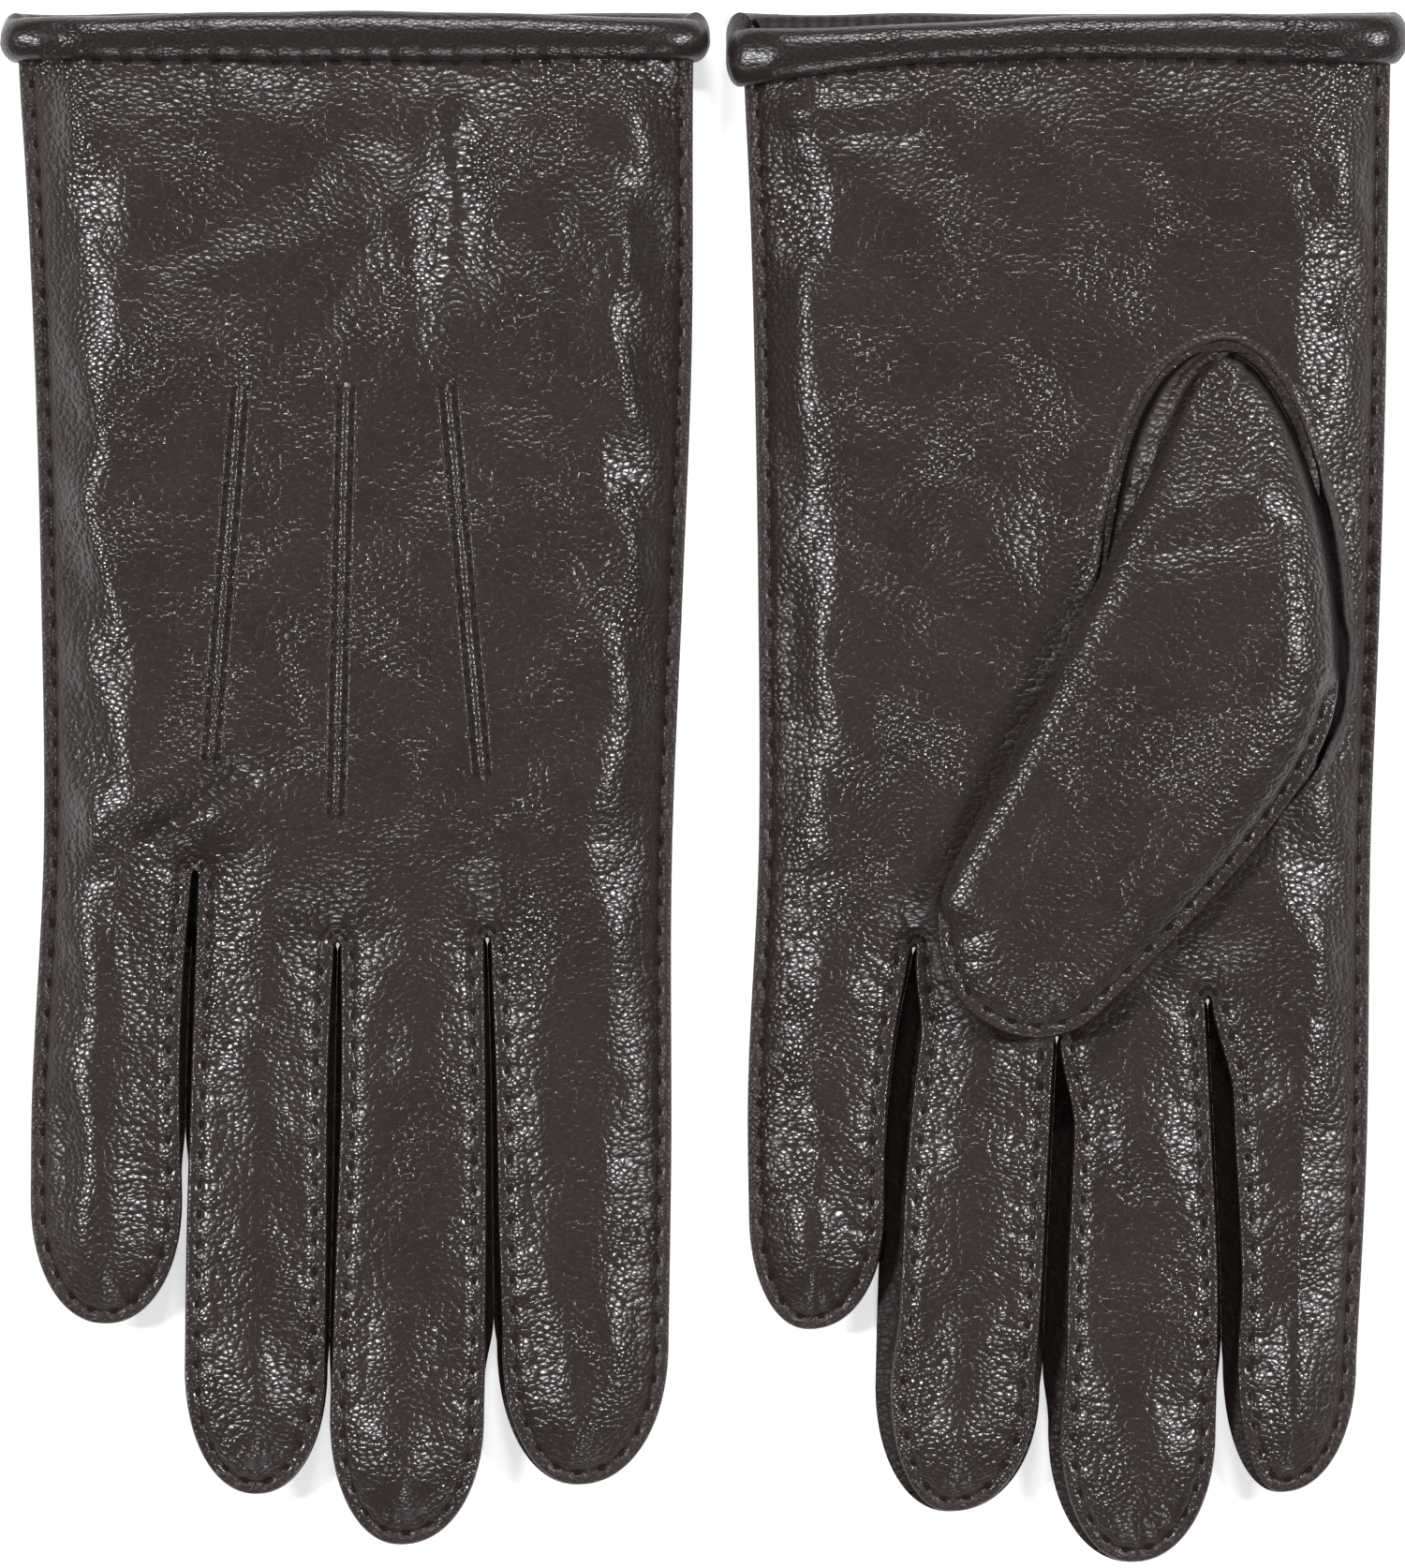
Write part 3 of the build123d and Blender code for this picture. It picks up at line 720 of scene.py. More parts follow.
def raisedSeam(name, line, heightAt, profile, sign, material, ease=2.5, uneven=0.04, paintedShade=None):
    # a sewn ridge: a profile across (offset, height) carried along a line over the skin, tapering at its ends
    p, run = spaced(line, 0.4)
    along = np.gradient(p, axis=0)
    along /= np.linalg.norm(along, axis=1)[:, None]
    across = np.stack([along[:, 1], -along[:, 0]], 1)
    offset, height = (np.array(k) for k in zip(*profile))
    sway = uneven * ripple(run, 0 * run, small)
    flat = p[:, None] + across[:, None] * (offset + 0.5 * sway[:, None])[..., None]
    fade = smoothStep(run / ease) * smoothStep((run[-1] - run) / ease)
    height = height * (1 + uneven * ripple(run[:, None] + 9 * offset, 0 * run[:, None], small))
    z = heightAt(flat[..., 0], flat[..., 1]) + sign * (height * fade[:, None] - 0.12 * (1 - fade[:, None]))
    # painted shade in the grooves either side of the ridge, unless the caller gives a shade across the
    # profile
    shade = 1.7 * bellAt((np.abs(offset) - 1.2) / 0.35) * fade[:, None] if paintedShade is None else paintedShade
    return addMesh(name, [(lifted(flat, z), {"shade": shade})], material, (0, 0, sign))


def capsule(name, rings, material):
    # a closed soft tube: rings of centre, half width and half height along it, with ends drawn to a point
    centre, half = np.array([r[:3] for r in rings], float), np.array([r[3:] for r in rings], float)
    turn = np.linspace(0, 2 * np.pi, 41)[:-1]
    squareness = 0.9
    c = np.sign(np.cos(turn)) * np.abs(np.cos(turn)) ** squareness
    s = np.sign(np.sin(turn)) * np.abs(np.sin(turn)) ** squareness
    grid = np.stack([centre[:, :1] + half[:, :1] * c, np.broadcast_to(centre[:, 1:2], (len(rings), 40)),
                     centre[:, 2:] + half[:, 1:] * s], -1)
    return addMesh(name, [(grid, {"around": True})], material, "closed")


def fingerLining(glove, i, material):
    # a knitted finger inside the leather one: a flat tube a little smaller, rounded off at the tip
    finger = glove["fingers"][i]
    tipX, tipY, startY = finger["tip"]
    reach = startY - tipY - 4
    y = np.r_[np.linspace(glove["joinY"], startY, 30), startY - reach * np.sin(np.linspace(0.1, 1.5708, 14))]
    inFinger = np.maximum(y, startY)
    left = sideX(glove, i, inFinger, "upper", 0)
    right = sideX(glove, i, inFinger, "upper", 1)
    past = np.clip((startY - y) / reach, 0, 1)
    shrink = np.sqrt(np.clip(1 - past ** 2, 0.0001, 1))
    low = [skinHeight(glove, "lower", (left + right) / 2, inFinger).max() + 1.3] * len(y)
    crown = softLine(glove["crown"], y) - 3.2
    rings = [((l + r) / 2, v, (h + b) / 2, max((r - l) / 2 - 6.0, 1) * k, (h - b) / 2 * (0.3 + 0.7 * k))
             for l, r, v, h, b, k in zip(left, right, y, crown, low, shrink)]
    return capsule(glove["side"] + finger["name"].capitalize() + "Lining", rings, material)


cuff = {"halfHeight": 4.3, "middle": 6.6, "height": 8.4, "thick": 2.4}


def cuffPath(glove, inset):
    # the line round the opening: flat above and below with round sides, as a superellipse
    left, right = (float(sideX(glove, k, np.array(120.0), "upper", w)) for k, w in ((0, 0), (3, 1)))
    a, b = (right - left) / 2 - inset, cuff["halfHeight"] - inset
    turn = np.linspace(0, 2 * np.pi, 4001)
    x = (left + right) / 2 + a * np.sign(np.cos(turn)) * np.abs(np.cos(turn)) ** (2 / 7)
    z = cuff["middle"] + b * np.sign(np.sin(turn)) * np.abs(np.sin(turn)) ** (2 / 2.2)
    line, run = spaced(np.stack([x, z], 1), 0.8)
    return line[:-1], run[:-1]


def cuffBinding(glove, material):
    # a strip of leather rolled over the opening: an oval profile carried round the cuff's line, with puckers
    line, run = cuffPath(glove, 0)
    out = np.gradient(line, axis=0)
    out = np.stack([out[:, 1], -out[:, 0]], 1)
    out /= np.linalg.norm(out, axis=1)[:, None]
    turn = np.linspace(0, 2 * np.pi, 29)[:-1]
    bulge = np.cos(turn) * cuff["thick"]
    rise = np.sin(turn) * cuff["height"] / 2
    upper = line[:, 1] > cuff["middle"]
    topY = np.where(upper, softLine(glove["rimY"], line[:, 0]), 124.0)
    foot = glove["cuffY"] - 0.3 + np.where(upper, softLine(glove["bandY"], line[:, 0]), 0)
    middle = (topY + foot) / 2
    tall = (topY - foot) / cuff["height"]
    pucker = 1 + 0.05 * np.cos(2 * np.pi * run / stitches["pitch"])[:, None] * (rise < 0) \
        + 0.05 * ripple(run, run * 0, small)[:, None]
    reach = bulge * pucker + 0.35
    x = line[:, :1] + out[:, :1] * reach
    z = line[:, 1:] + out[:, 1:] * reach
    y = middle[:, None] + rise * tall[:, None] + 0.12 * ripple(run, run * 0, broad)[:, None]
    grid = np.stack([x, y, np.maximum(z, 0.02)], -1)
    grid = np.concatenate([grid, grid[:1]], 0)
    return addMesh(glove["side"] + "CuffBinding", [(grid, {"around": True})], material, "closed")


def handLining(glove, material):
    # the knitted bag inside the hand, open at the cuff: rings like the opening that narrow to the fingers
    line, _ = cuffPath(glove, 1.7)
    line = line[::2]
    centre = line.mean(0)
    y = np.r_[123.2, 122.0, 119.0, 115.0, np.linspace(110, 10, 28), 9.9]
    size = np.r_[1.0, 0.985, 0.965, 0.93, np.linspace(0.88, 0.84, 28), 0.02]
    flat = np.r_[1.0, 1.0, 0.95, 0.85, np.linspace(0.75, 0.7, 28), 0.02]
    x = centre[0] + (line[:, 0] - centre[0]) * size[:, None]
    z = centre[1] + (line[:, 1] - centre[1]) * flat[:, None]
    wave = 0.25 * ripple(x, np.broadcast_to(y[:, None], x.shape), small)
    grid = np.stack([x, np.broadcast_to(y[:, None], x.shape), z + wave * (np.abs(z - centre[1]) < 2.4)], -1)
    return addMesh(glove["side"] + "HandLining", [(grid, {"around": True})], material, "closed")


pointLines = {"right": [((-74.0, 65.3), (-79.0, 2.7)), ((-57.2, 65.1), (-58.9, -6.3)),
                        ((-41.1, 65.4), (-35.3, 0.5))]}
pointLines["left"] = [((-x + 3.0, y), (-u + 3.0, v)) for (x, y), (u, v) in pointLines["right"]]
pointStitches = {"offset": 1.25, "pitch": 2.7, "length": 1.6, "radius": 0.22, "proud": -0.12}

# profiles across the raised seams, as (offset, height): a hump between two grooves for the points, and a
# groove between two low rolls for the oval round the thumb
pointProfile = [(-2.4, -0.1), (-2.0, 0.02), (-1.6, 0.05), (-1.3, -0.2), (-1.05, -0.2), (-0.85, 0.35),
                (-0.55, 0.8), (-0.2, 0.95), (0.2, 0.95), (0.55, 0.8), (0.85, 0.35), (1.05, -0.2),
                (1.3, -0.2), (1.6, 0.05), (2.0, 0.02), (2.4, -0.1)]
ovalProfile = [(-3.6, -0.3), (-3.0, -0.14), (-2.4, 0.02), (-1.8, 0.18), (-1.3, 0.24), (-1.0, 0.0),
               (-0.75, -0.5), (-0.4, -0.9), (0.0, -0.9), (0.3, -0.4), (0.7, 0.2), (1.1, 0.35),
               (1.5, 0.2), (1.9, -0.3)]


def roundedEnds(count):
    # how wide a tube is along its length: full over most of it and narrow at both ends
    return np.sin(np.linspace(0.06, np.pi - 0.06, count)) ** 0.4


def leftThumbPieces(materials):
    # two skins that share the thumb's edge, the stitches of its flange, and the knitted lining inside
    line = thumbLines["left"]
    flat = inwardGrid(line, middleOf(line, (leftThumb["top"], leftThumb["tip"]))).transpose(1, 0, 2)
    z, shade = thumbHeight(flat[..., 0], flat[..., 1], marks=True)
    around = {"around": True, "shade": shade}
    hide = materials["leather"]
    outer = addMesh("leftThumbOuter", [(lifted(flat, z), around)], hide, outOf["upper"])
    below = lifted(flat, thumbUnder(flat[..., 0], flat[..., 1]))
    under = addMesh("leftThumbUnder", [(below, {"around": True})], hide, outOf["lower"])
    p, way = stitchPlaces(line, np.arange(len(line)) * outlineStep)
    keep = thumbEdge(p[:, 0], p[:, 1])[3] > 0.6
    centre = lifted(p, thumbHeight(p[:, 0], p[:, 1]) + stitches["proud"])[keep]
    along, up = slopeFrame(thumbHeight, centre, way[keep], 1)
    thread = rods("leftThumbThread", centre, along, up, stitches["length"], stitches["radius"],
                  materials["thread"])
    rings = [(84 - 30.5 * t, 60 - 86 * t, 17 + 0.6 * np.sin(np.pi * t), max(10 * k, 0.3),
              2.4 * (0.2 + 0.8 * k)) for t, k in zip(np.linspace(0.1, 1.02, 30), roundedEnds(30))]
    lining = capsule("leftThumbLining", rings, materials["knit"])
    return outer, under, thread, lining


def rightThumbPieces(materials):
    # flat in the hollow under the palm: two skins that meet at a sewn edge half way up
    line = thumbLines["right"]
    flat = inwardGrid(line, middleOf(line, (rightThumb["top"], rightThumb["tip"]))).transpose(1, 0, 2)
    x, y = flat[..., 0], flat[..., 1]
    gap, index = nearest(line, x, y)
    rise = shoulder((gap - stitches["inset"]) / 7, 2.2)
    edge = rawEdge(gap)
    groove = grooveAt(gap, fromStitch(index * outlineStep), 0.45, 1.4)
    level = rightThumb["level"]
    lower = level - edge - (level - edge - rightThumb["under"]) * rise + 0.3 * groove
    upper = level + edge + (rightThumb["upper"] - level - edge) * rise
    # painted shade: the stitch grooves darker
    around = {"around": True, "shade": groove}
    outer = addMesh("rightThumbOuter", [(lifted(flat, lower), around)], materials["leather"], outOf["lower"])
    under = addMesh("rightThumbUnder", [(lifted(flat, upper), {"around": True})], materials["leather"],
                    outOf["upper"])
    rings = [(-29 - 43 * t, 50 - 59 * t, level, max(11 * k, 0.3), 2.2 * (0.2 + 0.8 * k))
             for t, k in zip(np.linspace(0.05, 1.0, 30), roundedEnds(30))]
    return outer, under, capsule("rightThumbLining", rings, materials["knit"])


# the oval seam round each thumb's way in
ovalLine = {
    "left": [(63.4, 29), (64.3, 35), (65.6, 43), (67.5, 52), (70.2, 59.5), (74.2, 65.8), (79.2, 69.4),
             (84, 70.2), (88.6, 67.8), (92.8, 62), (96.6, 53), (99.6, 42), (101.4, 31), (102.2, 22),
             (101.6, 13), (98.4, 5.5), (93.0, -1.5), (87, -9)],
    "right": [(-38, 12), (-37.5, 30), (-37, 50), (-34, 60), (-27, 64.5), (-19, 61), (-16, 50),
              (-14.5, 30), (-13.5, 12)]}


def smoothThrough(corners, step=0.5):
    # an open smooth line through corners, by the same cubic as softLine, over the run between them
    p = np.array(corners, float)
    run = np.r_[0, np.cumsum(np.linalg.norm(np.diff(p, axis=0), axis=1))]
    at = np.linspace(0, run[-1], int(run[-1] / step) + 2)
    return np.stack([softLine(list(zip(run, p[:, k])), at) for k in (0, 1)], 1)


def leftGusset(material):
    # the thumb's gusset: from the oval seam's left branch to under the thumb's folded edge, with a fold
    y = np.linspace(27, 69.5, 90)
    branch = smoothThrough(ovalLine["left"][:8])
    a = np.interp(y, branch[:, 1], branch[:, 0])
    start, ahead, _ = foldLine()
    fold = start[0] + (y - start[1]) / ahead[1] * ahead[0]
    b = np.maximum(fold + 2.6, a + 1.0)
    q = np.linspace(0, 1, 26)
    x = a[:, None] + (b - a)[:, None] * q
    yy = np.broadcast_to(y[:, None], x.shape)
    z = 13.1 + 1.5 * smoothStep(q) + 0.7 * bellAt((q - 0.42 - 0.05 * np.sin(y[:, None] / 6)) / 0.15)
    z = z + 0.18 * ripple(x, yy, small, 0.6) * np.sin(np.pi * q)
    # painted shade: dark along both sides of the gusset, by the oval seam and under the thumb's fold
    shade = 0.6 + 1.4 * bellAt(q / 0.16) + 1.4 * bellAt((q - 0.85) / 0.2)
    return addMesh("leftThumbGusset", [(np.stack([x, yy, z], -1), {"shade": shade})], material, (0, 0, 1))


def rightGusset(material):
    # a flat ring of leather round the right thumb's way in, between its skins and the palm
    line = closedCurve(ovalLine["right"], 0.6)
    q = np.linspace(0, 1, 8)[:, None, None]
    centre = line.mean(0)
    flat = centre + (line - centre) * (1.0 - 0.35 * q)
    z = 7.9 - 0.3 * np.sin(np.pi * q[..., 0]) + 0 * flat[..., 0]
    return addMesh("rightThumbGusset", [(lifted(flat, z), {"around": True})], material, (0, 0, -1))


def forkWebs(glove, material):
    # the little saddle at the foot of each slit, between the flanges
    q, u = np.linspace(0, 1, 15)[:, None], np.linspace(-1, 1, 9)
    deep = channelDepth(q)
    grids = []
    for x, y in glove["crotches"]:
        z = glove["middle"] + leather["stripHalf"] * (2 * q - 1) + 0 * u
        # painted shade over each saddle at the foot of its slit
        grids.append((np.stack([x + 1.6 * u + 0 * q, y + deep - 0.2 - 0.9 * u ** 2, z], -1), {"shade": 1.4}))
    return addMesh(glove["side"] + "ForkWebs", grids, material, (0, -1, 0))


def barStitches(glove, material):
    # a small arch of thread above each slit
    turn = np.radians([30, 90, 150])
    flat, way = [], []
    for x, y in glove["crotches"]:
        flat.append(np.stack([x + 1.25 * np.cos(turn), y + 0.2 + 1.35 * np.sin(turn)], 1))
        way.append(np.stack([-np.sin(turn), np.cos(turn)], 1))
    flat, way = np.concatenate(flat), np.concatenate(way)
    heightAt = skinOf(glove, "upper")
    centre = lifted(flat, heightAt(flat[:, 0], flat[:, 1]) + stitches["proud"])
    along, up = slopeFrame(heightAt, centre, way, 1)
    length, radius = 1.5, 0.28
    return rods(glove["side"] + "BarStitches", centre, along, up, length, radius, material)


def alongThreads(line, offset, pitch, heightAt, sign, proud):
    # the places, directions and ways up of stitches along a line, at an offset to its right
    p, run = spaced(line, 0.2)
    along = np.gradient(p, axis=0)
    along /= np.linalg.norm(along, axis=1)[:, None]
    at = (np.arange(int(run[-1] / pitch)) + 0.5) * pitch
    pick = np.searchsorted(run, at)
    way = along[pick]
    flat = p[pick] + np.stack([way[:, 1], -way[:, 0]], 1) * offset
    centre = lifted(flat, heightAt(flat[:, 0], flat[:, 1]) + sign * proud)
    tangent, up = slopeFrame(heightAt, centre, way, sign)
    return centre, tangent, up


def pointPieces(glove, materials):
    # three raised points on the back of the hand, each a ridge between two rows of fine stitches
    face = "upper" if glove["upper"] == "back" else "lower"
    sign = 1 if face == "upper" else -1
    heightAt = skinOf(glove, face)
    scale = 1.0 if sign > 0 else 0.35
    profile = [(o, h * scale) for o, h in pointProfile]
    ridges, rows = [], []
    for k, ends in enumerate(pointLines[glove["side"]]):
        name = f"{glove['side']}Point{k + 1}"
        ridges.append(raisedSeam(name, np.array(ends), heightAt, profile, sign, materials["leather"]))
        for offset in (-pointStitches["offset"], pointStitches["offset"]):
            rows.append(alongThreads(np.array(ends), offset, pointStitches["pitch"], heightAt, sign,
                                     pointStitches["proud"]))
    centre, tangent, up = (np.concatenate([r[n] for r in rows]) for n in range(3))
    thread = rods(glove["side"] + "PointThread", centre, tangent, up, pointStitches["length"],
                  pointStitches["radius"], materials["thread"])
    return ridges, thread


def cuffThread(glove, material):
    # stitches under the binding, on both faces
    parts = []
    for face, sign in (("upper", 1), ("lower", -1)):
        x = np.arange(float(sideX(glove, 0, np.array(116.0), face, 0)) + 3,
                      float(sideX(glove, 3, np.array(116.0), face, 1)) - 2, stitches["pitch"])
        y = glove["cuffY"] - 0.5 + (softLine(glove["bandY"], x) if sign > 0 else 0)
        heightAt = skinOf(glove, face)
        centre = lifted(np.stack([x, y + 0 * x], 1), heightAt(x, y) + sign * 0.1)
        way = np.stack([np.ones(len(x)), 0 * x], 1)
        tangent, up = slopeFrame(heightAt, centre, way, sign)
        parts.append((centre, tangent, up))
    centre, tangent, up = (np.concatenate([p[n] for p in parts]) for n in range(3))
    return rods(glove["side"] + "CuffThread", centre, tangent, up, stitches["length"], stitches["radius"],
                material)


# ---- finishes

def socketed(name, inputs, outputs):
    group = bpy.data.node_groups.new(name, "ShaderNodeTree")
    for label, value in inputs:
        kind = "NodeSocketVector" if value is None else "NodeSocketFloat"
        socket = group.interface.new_socket(label, in_out="INPUT", socket_type=kind)
        if value is not None:
            socket.default_value = value
    for label in outputs:
        group.interface.new_socket(label, in_out="OUTPUT", socket_type="NodeSocketFloat")
    return group, group.nodes.new("NodeGroupInput"), group.nodes.new("NodeGroupOutput")


class Tree:
    # a node tree with short calls: add a node, set its sockets from values or from other nodes' outputs
    def __init__(self, tree):
        self.tree = tree

    def add(self, kind, sockets=None, **settings):
        node = self.tree.nodes.new("ShaderNode" + kind)
        for key, value in settings.items():
            setattr(node, key, value)
        for key, value in (sockets or {}).items():
            self.join(value, node.inputs[key])
        return node

    def join(self, value, socket):
        if isinstance(value, bpy.types.NodeSocket):
            self.tree.links.new(value, socket)
        else:
            socket.default_value = value

    def math(self, operation, a, b=0.0, c=0.0):
        return self.add("Math", {0: a, 1: b, 2: c}, operation=operation).outputs[0]

    def range(self, value, low, high, outLow=0.0, outHigh=1.0):
        sockets = {"Value": value, "From Min": low, "From Max": high, "To Min": outLow, "To Max": outHigh}
        return self.add("MapRange", sockets, interpolation_type="SMOOTHSTEP").outputs[0]

    def noise(self, place, scale, detail=2.0, rough=0.5, twist=0.0):
        sockets = {"Vector": place, "Scale": scale, "Detail": detail, "Roughness": rough, "Distortion": twist}
        return self.add("TexNoise", sockets).outputs["Fac"]

    def stirred(self, place, scale, detail, reach):
        # places pushed about by a colour noise, by up to the reach
        bend = self.add("TexNoise", {"Vector": place, "Scale": scale, "Detail": detail}).outputs["Color"]
        shift = self.add("VectorMath", {0: bend, 1: (reach, reach, reach)}, operation="MULTIPLY").outputs[0]
        return self.add("VectorMath", {0: place, 1: shift}, operation="ADD").outputs[0]

    def mixColour(self, share, a, b):
        node = self.add("Mix", data_type="RGBA")
        self.join(share, node.inputs["Factor"])
        self.join(a, node.inputs[6])
        self.join(b, node.inputs[7])
        return node.outputs[2]


def grainGroup():
    # leather grain: rounded pebbles with fine valleys, wrinkles, and patches where both stand out
    group, entry, leave = socketed("leatherGrain", [("Place", None), ("Pebble", 0.00085), ("Wrinkle", 0.5)],
                                   ["Height", "Valley", "Patch"])
    t = Tree(group)
    place, pebble, wrinkle = entry.outputs["Place"], entry.outputs["Pebble"], entry.outputs["Wrinkle"]
    moved = t.stirred(place, 420.0, 1.0, 0.0007)
    squeezed = t.add("VectorMath", {0: moved, 1: (0.8, 1.15, 1.0)}, operation="MULTIPLY").outputs[0]
    cells = t.math("DIVIDE", 1.0, pebble)
    edge = t.add("TexVoronoi", {"Vector": squeezed, "Scale": cells},
                 feature="DISTANCE_TO_EDGE").outputs["Distance"]
    fine = t.add("TexVoronoi", {"Vector": moved, "Scale": t.math("MULTIPLY", cells, 2.3)},
                 feature="DISTANCE_TO_EDGE").outputs["Distance"]
    dome = t.add("TexVoronoi", {"Vector": squeezed, "Scale": cells}).outputs["Distance"]
    dome = t.math("SUBTRACT", 1.0, t.math("MULTIPLY", t.math("MULTIPLY", dome, dome), 2.4))
    round_ = t.range(edge, 0.0, 0.16)
    patch = t.range(t.noise(place, 58.0, 3.0, 0.6, 0.6), 0.46, 0.74)
    long = t.add("VectorMath", {0: moved, 1: (0.45, 1.5, 0.8)}, operation="MULTIPLY").outputs[0]
    creases = t.math("ABSOLUTE", t.math("SUBTRACT", t.noise(long, 330.0, 3.0, 0.55, 0.4), 0.5))
    crease = t.math("SUBTRACT", 1.0, t.range(creases, 0.0, 0.05))
    depth = t.range(patch, 0.0, 1.0, 0.4, 1.0)
    height = t.math("MULTIPLY", dome, depth)
    height = t.math("ADD", height, t.math("MULTIPLY", t.range(fine, 0.0, 0.4), 0.05))
    height = t.math("ADD", height, t.math("MULTIPLY", round_, 0.1))
    height = t.math("SUBTRACT", height, t.math("MULTIPLY", t.math("MULTIPLY", crease, wrinkle), depth))
    group.links.new(height, leave.inputs["Height"])
    group.links.new(t.math("SUBTRACT", 1.0, round_), leave.inputs["Valley"])
    group.links.new(patch, leave.inputs["Patch"])
    return group


# mid and deep: the leather's tones, with deep also the painted shade in the grain's valleys; red: the reddish
# dark of the painted shade along seams, edges and round the thumbs; slit: the black painted shade in the
# slits
leatherLook = {
    "mid": (0.034, 0.0248, 0.0238, 1), "deep": (0.014, 0.009, 0.0086, 1), "red": (0.018, 0.008, 0.0065, 1),
    "slit": (0.002, 0.0015, 0.0014, 1), "rough": (0.15, 0.2), "grainDepth": 0.00013, "wrinkle": 0.1,
    "pebble": 0.001}
threadLook = {"dark": (0.006, 0.003, 0.0025, 1), "light": (0.022, 0.010, 0.008, 1)}
knitLook = {"dark": (0.010, 0.008, 0.008, 1), "light": (0.040, 0.032, 0.031, 1)}


def newMaterial(name):
    # a material with short calls to its node tree, and its shader
    material = bpy.data.materials.new(name)
    material.use_nodes = True
    return material, Tree(material.node_tree), material.node_tree.nodes["Principled BSDF"]


def leatherMaterial(name, group, look):
    # brown dress leather: darker in the valleys of the grain as painted shade; reddish and darker where the
    # seamShade attribute paints shade along seams, edges and round the thumbs, with the thread's tint where
    # it is sewn; black painted shade in the slits
    material, t, shader = newMaterial(name)
    place = t.add("TexCoord").outputs["Object"]
    grain = t.add("Group", node_tree=group)
    t.join(place, grain.inputs["Place"])
    grain.inputs["Pebble"].default_value = look["pebble"]
    grain.inputs["Wrinkle"].default_value = look["wrinkle"]
    seam = t.add("Attribute", attribute_name="seamShade").outputs["Fac"]
    cloud = t.range(t.noise(place, 70.0, 4.0, 0.6), 0.3, 0.7)
    colour = t.mixColour(t.math("MULTIPLY", cloud, 0.35), look["mid"], look["deep"])
    # painted shade in the grain's valleys
    colour = t.mixColour(t.math("MULTIPLY", grain.outputs["Valley"], 0.55), colour, look["deep"])
    # painted shade from the seamShade attribute: reddish dark up to 1, black from 1 to 2
    colour = t.mixColour(t.math("MULTIPLY", t.range(seam, 0.0, 1.0), 0.8), colour, look["red"])
    colour = t.mixColour(t.range(seam, 1.0, 2.0), colour, look["slit"])
    t.join(colour, shader.inputs["Base Color"])
    rough = t.range(grain.outputs["Patch"], 0.0, 1.0, look["rough"][1], look["rough"][0])
    rough = t.math("ADD", rough, t.math("MULTIPLY", grain.outputs["Valley"], 0.1))
    t.join(t.math("ADD", rough, t.math("MULTIPLY", seam, 0.2)), shader.inputs["Roughness"])
    bump = t.add("Bump", {"Height": grain.outputs["Height"], "Strength": 1.0, "Distance": look["grainDepth"]})
    t.join(bump.outputs[0], shader.inputs["Normal"])
    # less reflection where the painted shade is deep
    t.join(t.range(seam, 0.9, 1.8, 0.5, 0.05), shader.inputs["Specular IOR Level"])
    return material


def threadMaterial():
    # reddish brown thread: a fine twist along it
    material, t, shader = newMaterial("sewingThread")
    place = t.add("TexCoord").outputs["Object"]
    wave = t.add("TexWave", {"Vector": place, "Scale": 900.0, "Distortion": 2.0}).outputs["Fac"]
    fuzz = t.noise(place, 4000.0, 2.0)
    t.join(t.mixColour(wave, threadLook["dark"], threadLook["light"]), shader.inputs["Base Color"])
    t.join(t.range(fuzz, 0.2, 0.8, 0.6, 0.85), shader.inputs["Roughness"])
    shader.inputs["Specular IOR Level"].default_value = 0.2
    bump = t.add("Bump", {"Height": t.math("ADD", wave, fuzz), "Strength": 0.8, "Distance": 0.00008})
    t.join(bump.outputs[0], shader.inputs["Normal"])
    return material


def knitMaterial():
    # dark knitted lining: columns of small loops with a soft haze
    material, t, shader = newMaterial("liningKnit")
    place = t.add("TexCoord").outputs["Object"]
    moved = t.stirred(place, 300.0, 2.0, 0.0005)
    ribs = t.add("TexWave", {"Vector": moved, "Scale": 150.0}, bands_direction="X").outputs["Fac"]
    rows = t.add("TexWave", {"Vector": moved, "Scale": 210.0}, bands_direction="Y").outputs["Fac"]
    loops = t.math("MULTIPLY", ribs, t.range(rows, 0.0, 0.6, 0.4, 1.0))
    t.join(t.mixColour(loops, knitLook["dark"], knitLook["light"]), shader.inputs["Base Color"])
    t.join(t.range(t.noise(place, 2500.0), 0.2, 0.8, 0.8, 0.98), shader.inputs["Roughness"])
    bump = t.add("Bump", {"Height": loops, "Strength": 1.0, "Distance": 0.0003})
    t.join(bump.outputs[0], shader.inputs["Normal"])
    shader.inputs["Sheen Weight"].default_value = 0.3
    return material


# ---- putting the pair together

def place(piece, body, slot, *nodes):
    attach(piece, body)
    if nodes:
        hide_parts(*nodes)


def bendWith(piece, glove, i, slot, *nodes):
    # a finger's piece: hides the named parts of model.glb and bakes the piece's transform into its mesh
    if nodes:
        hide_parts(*nodes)
    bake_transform(piece)


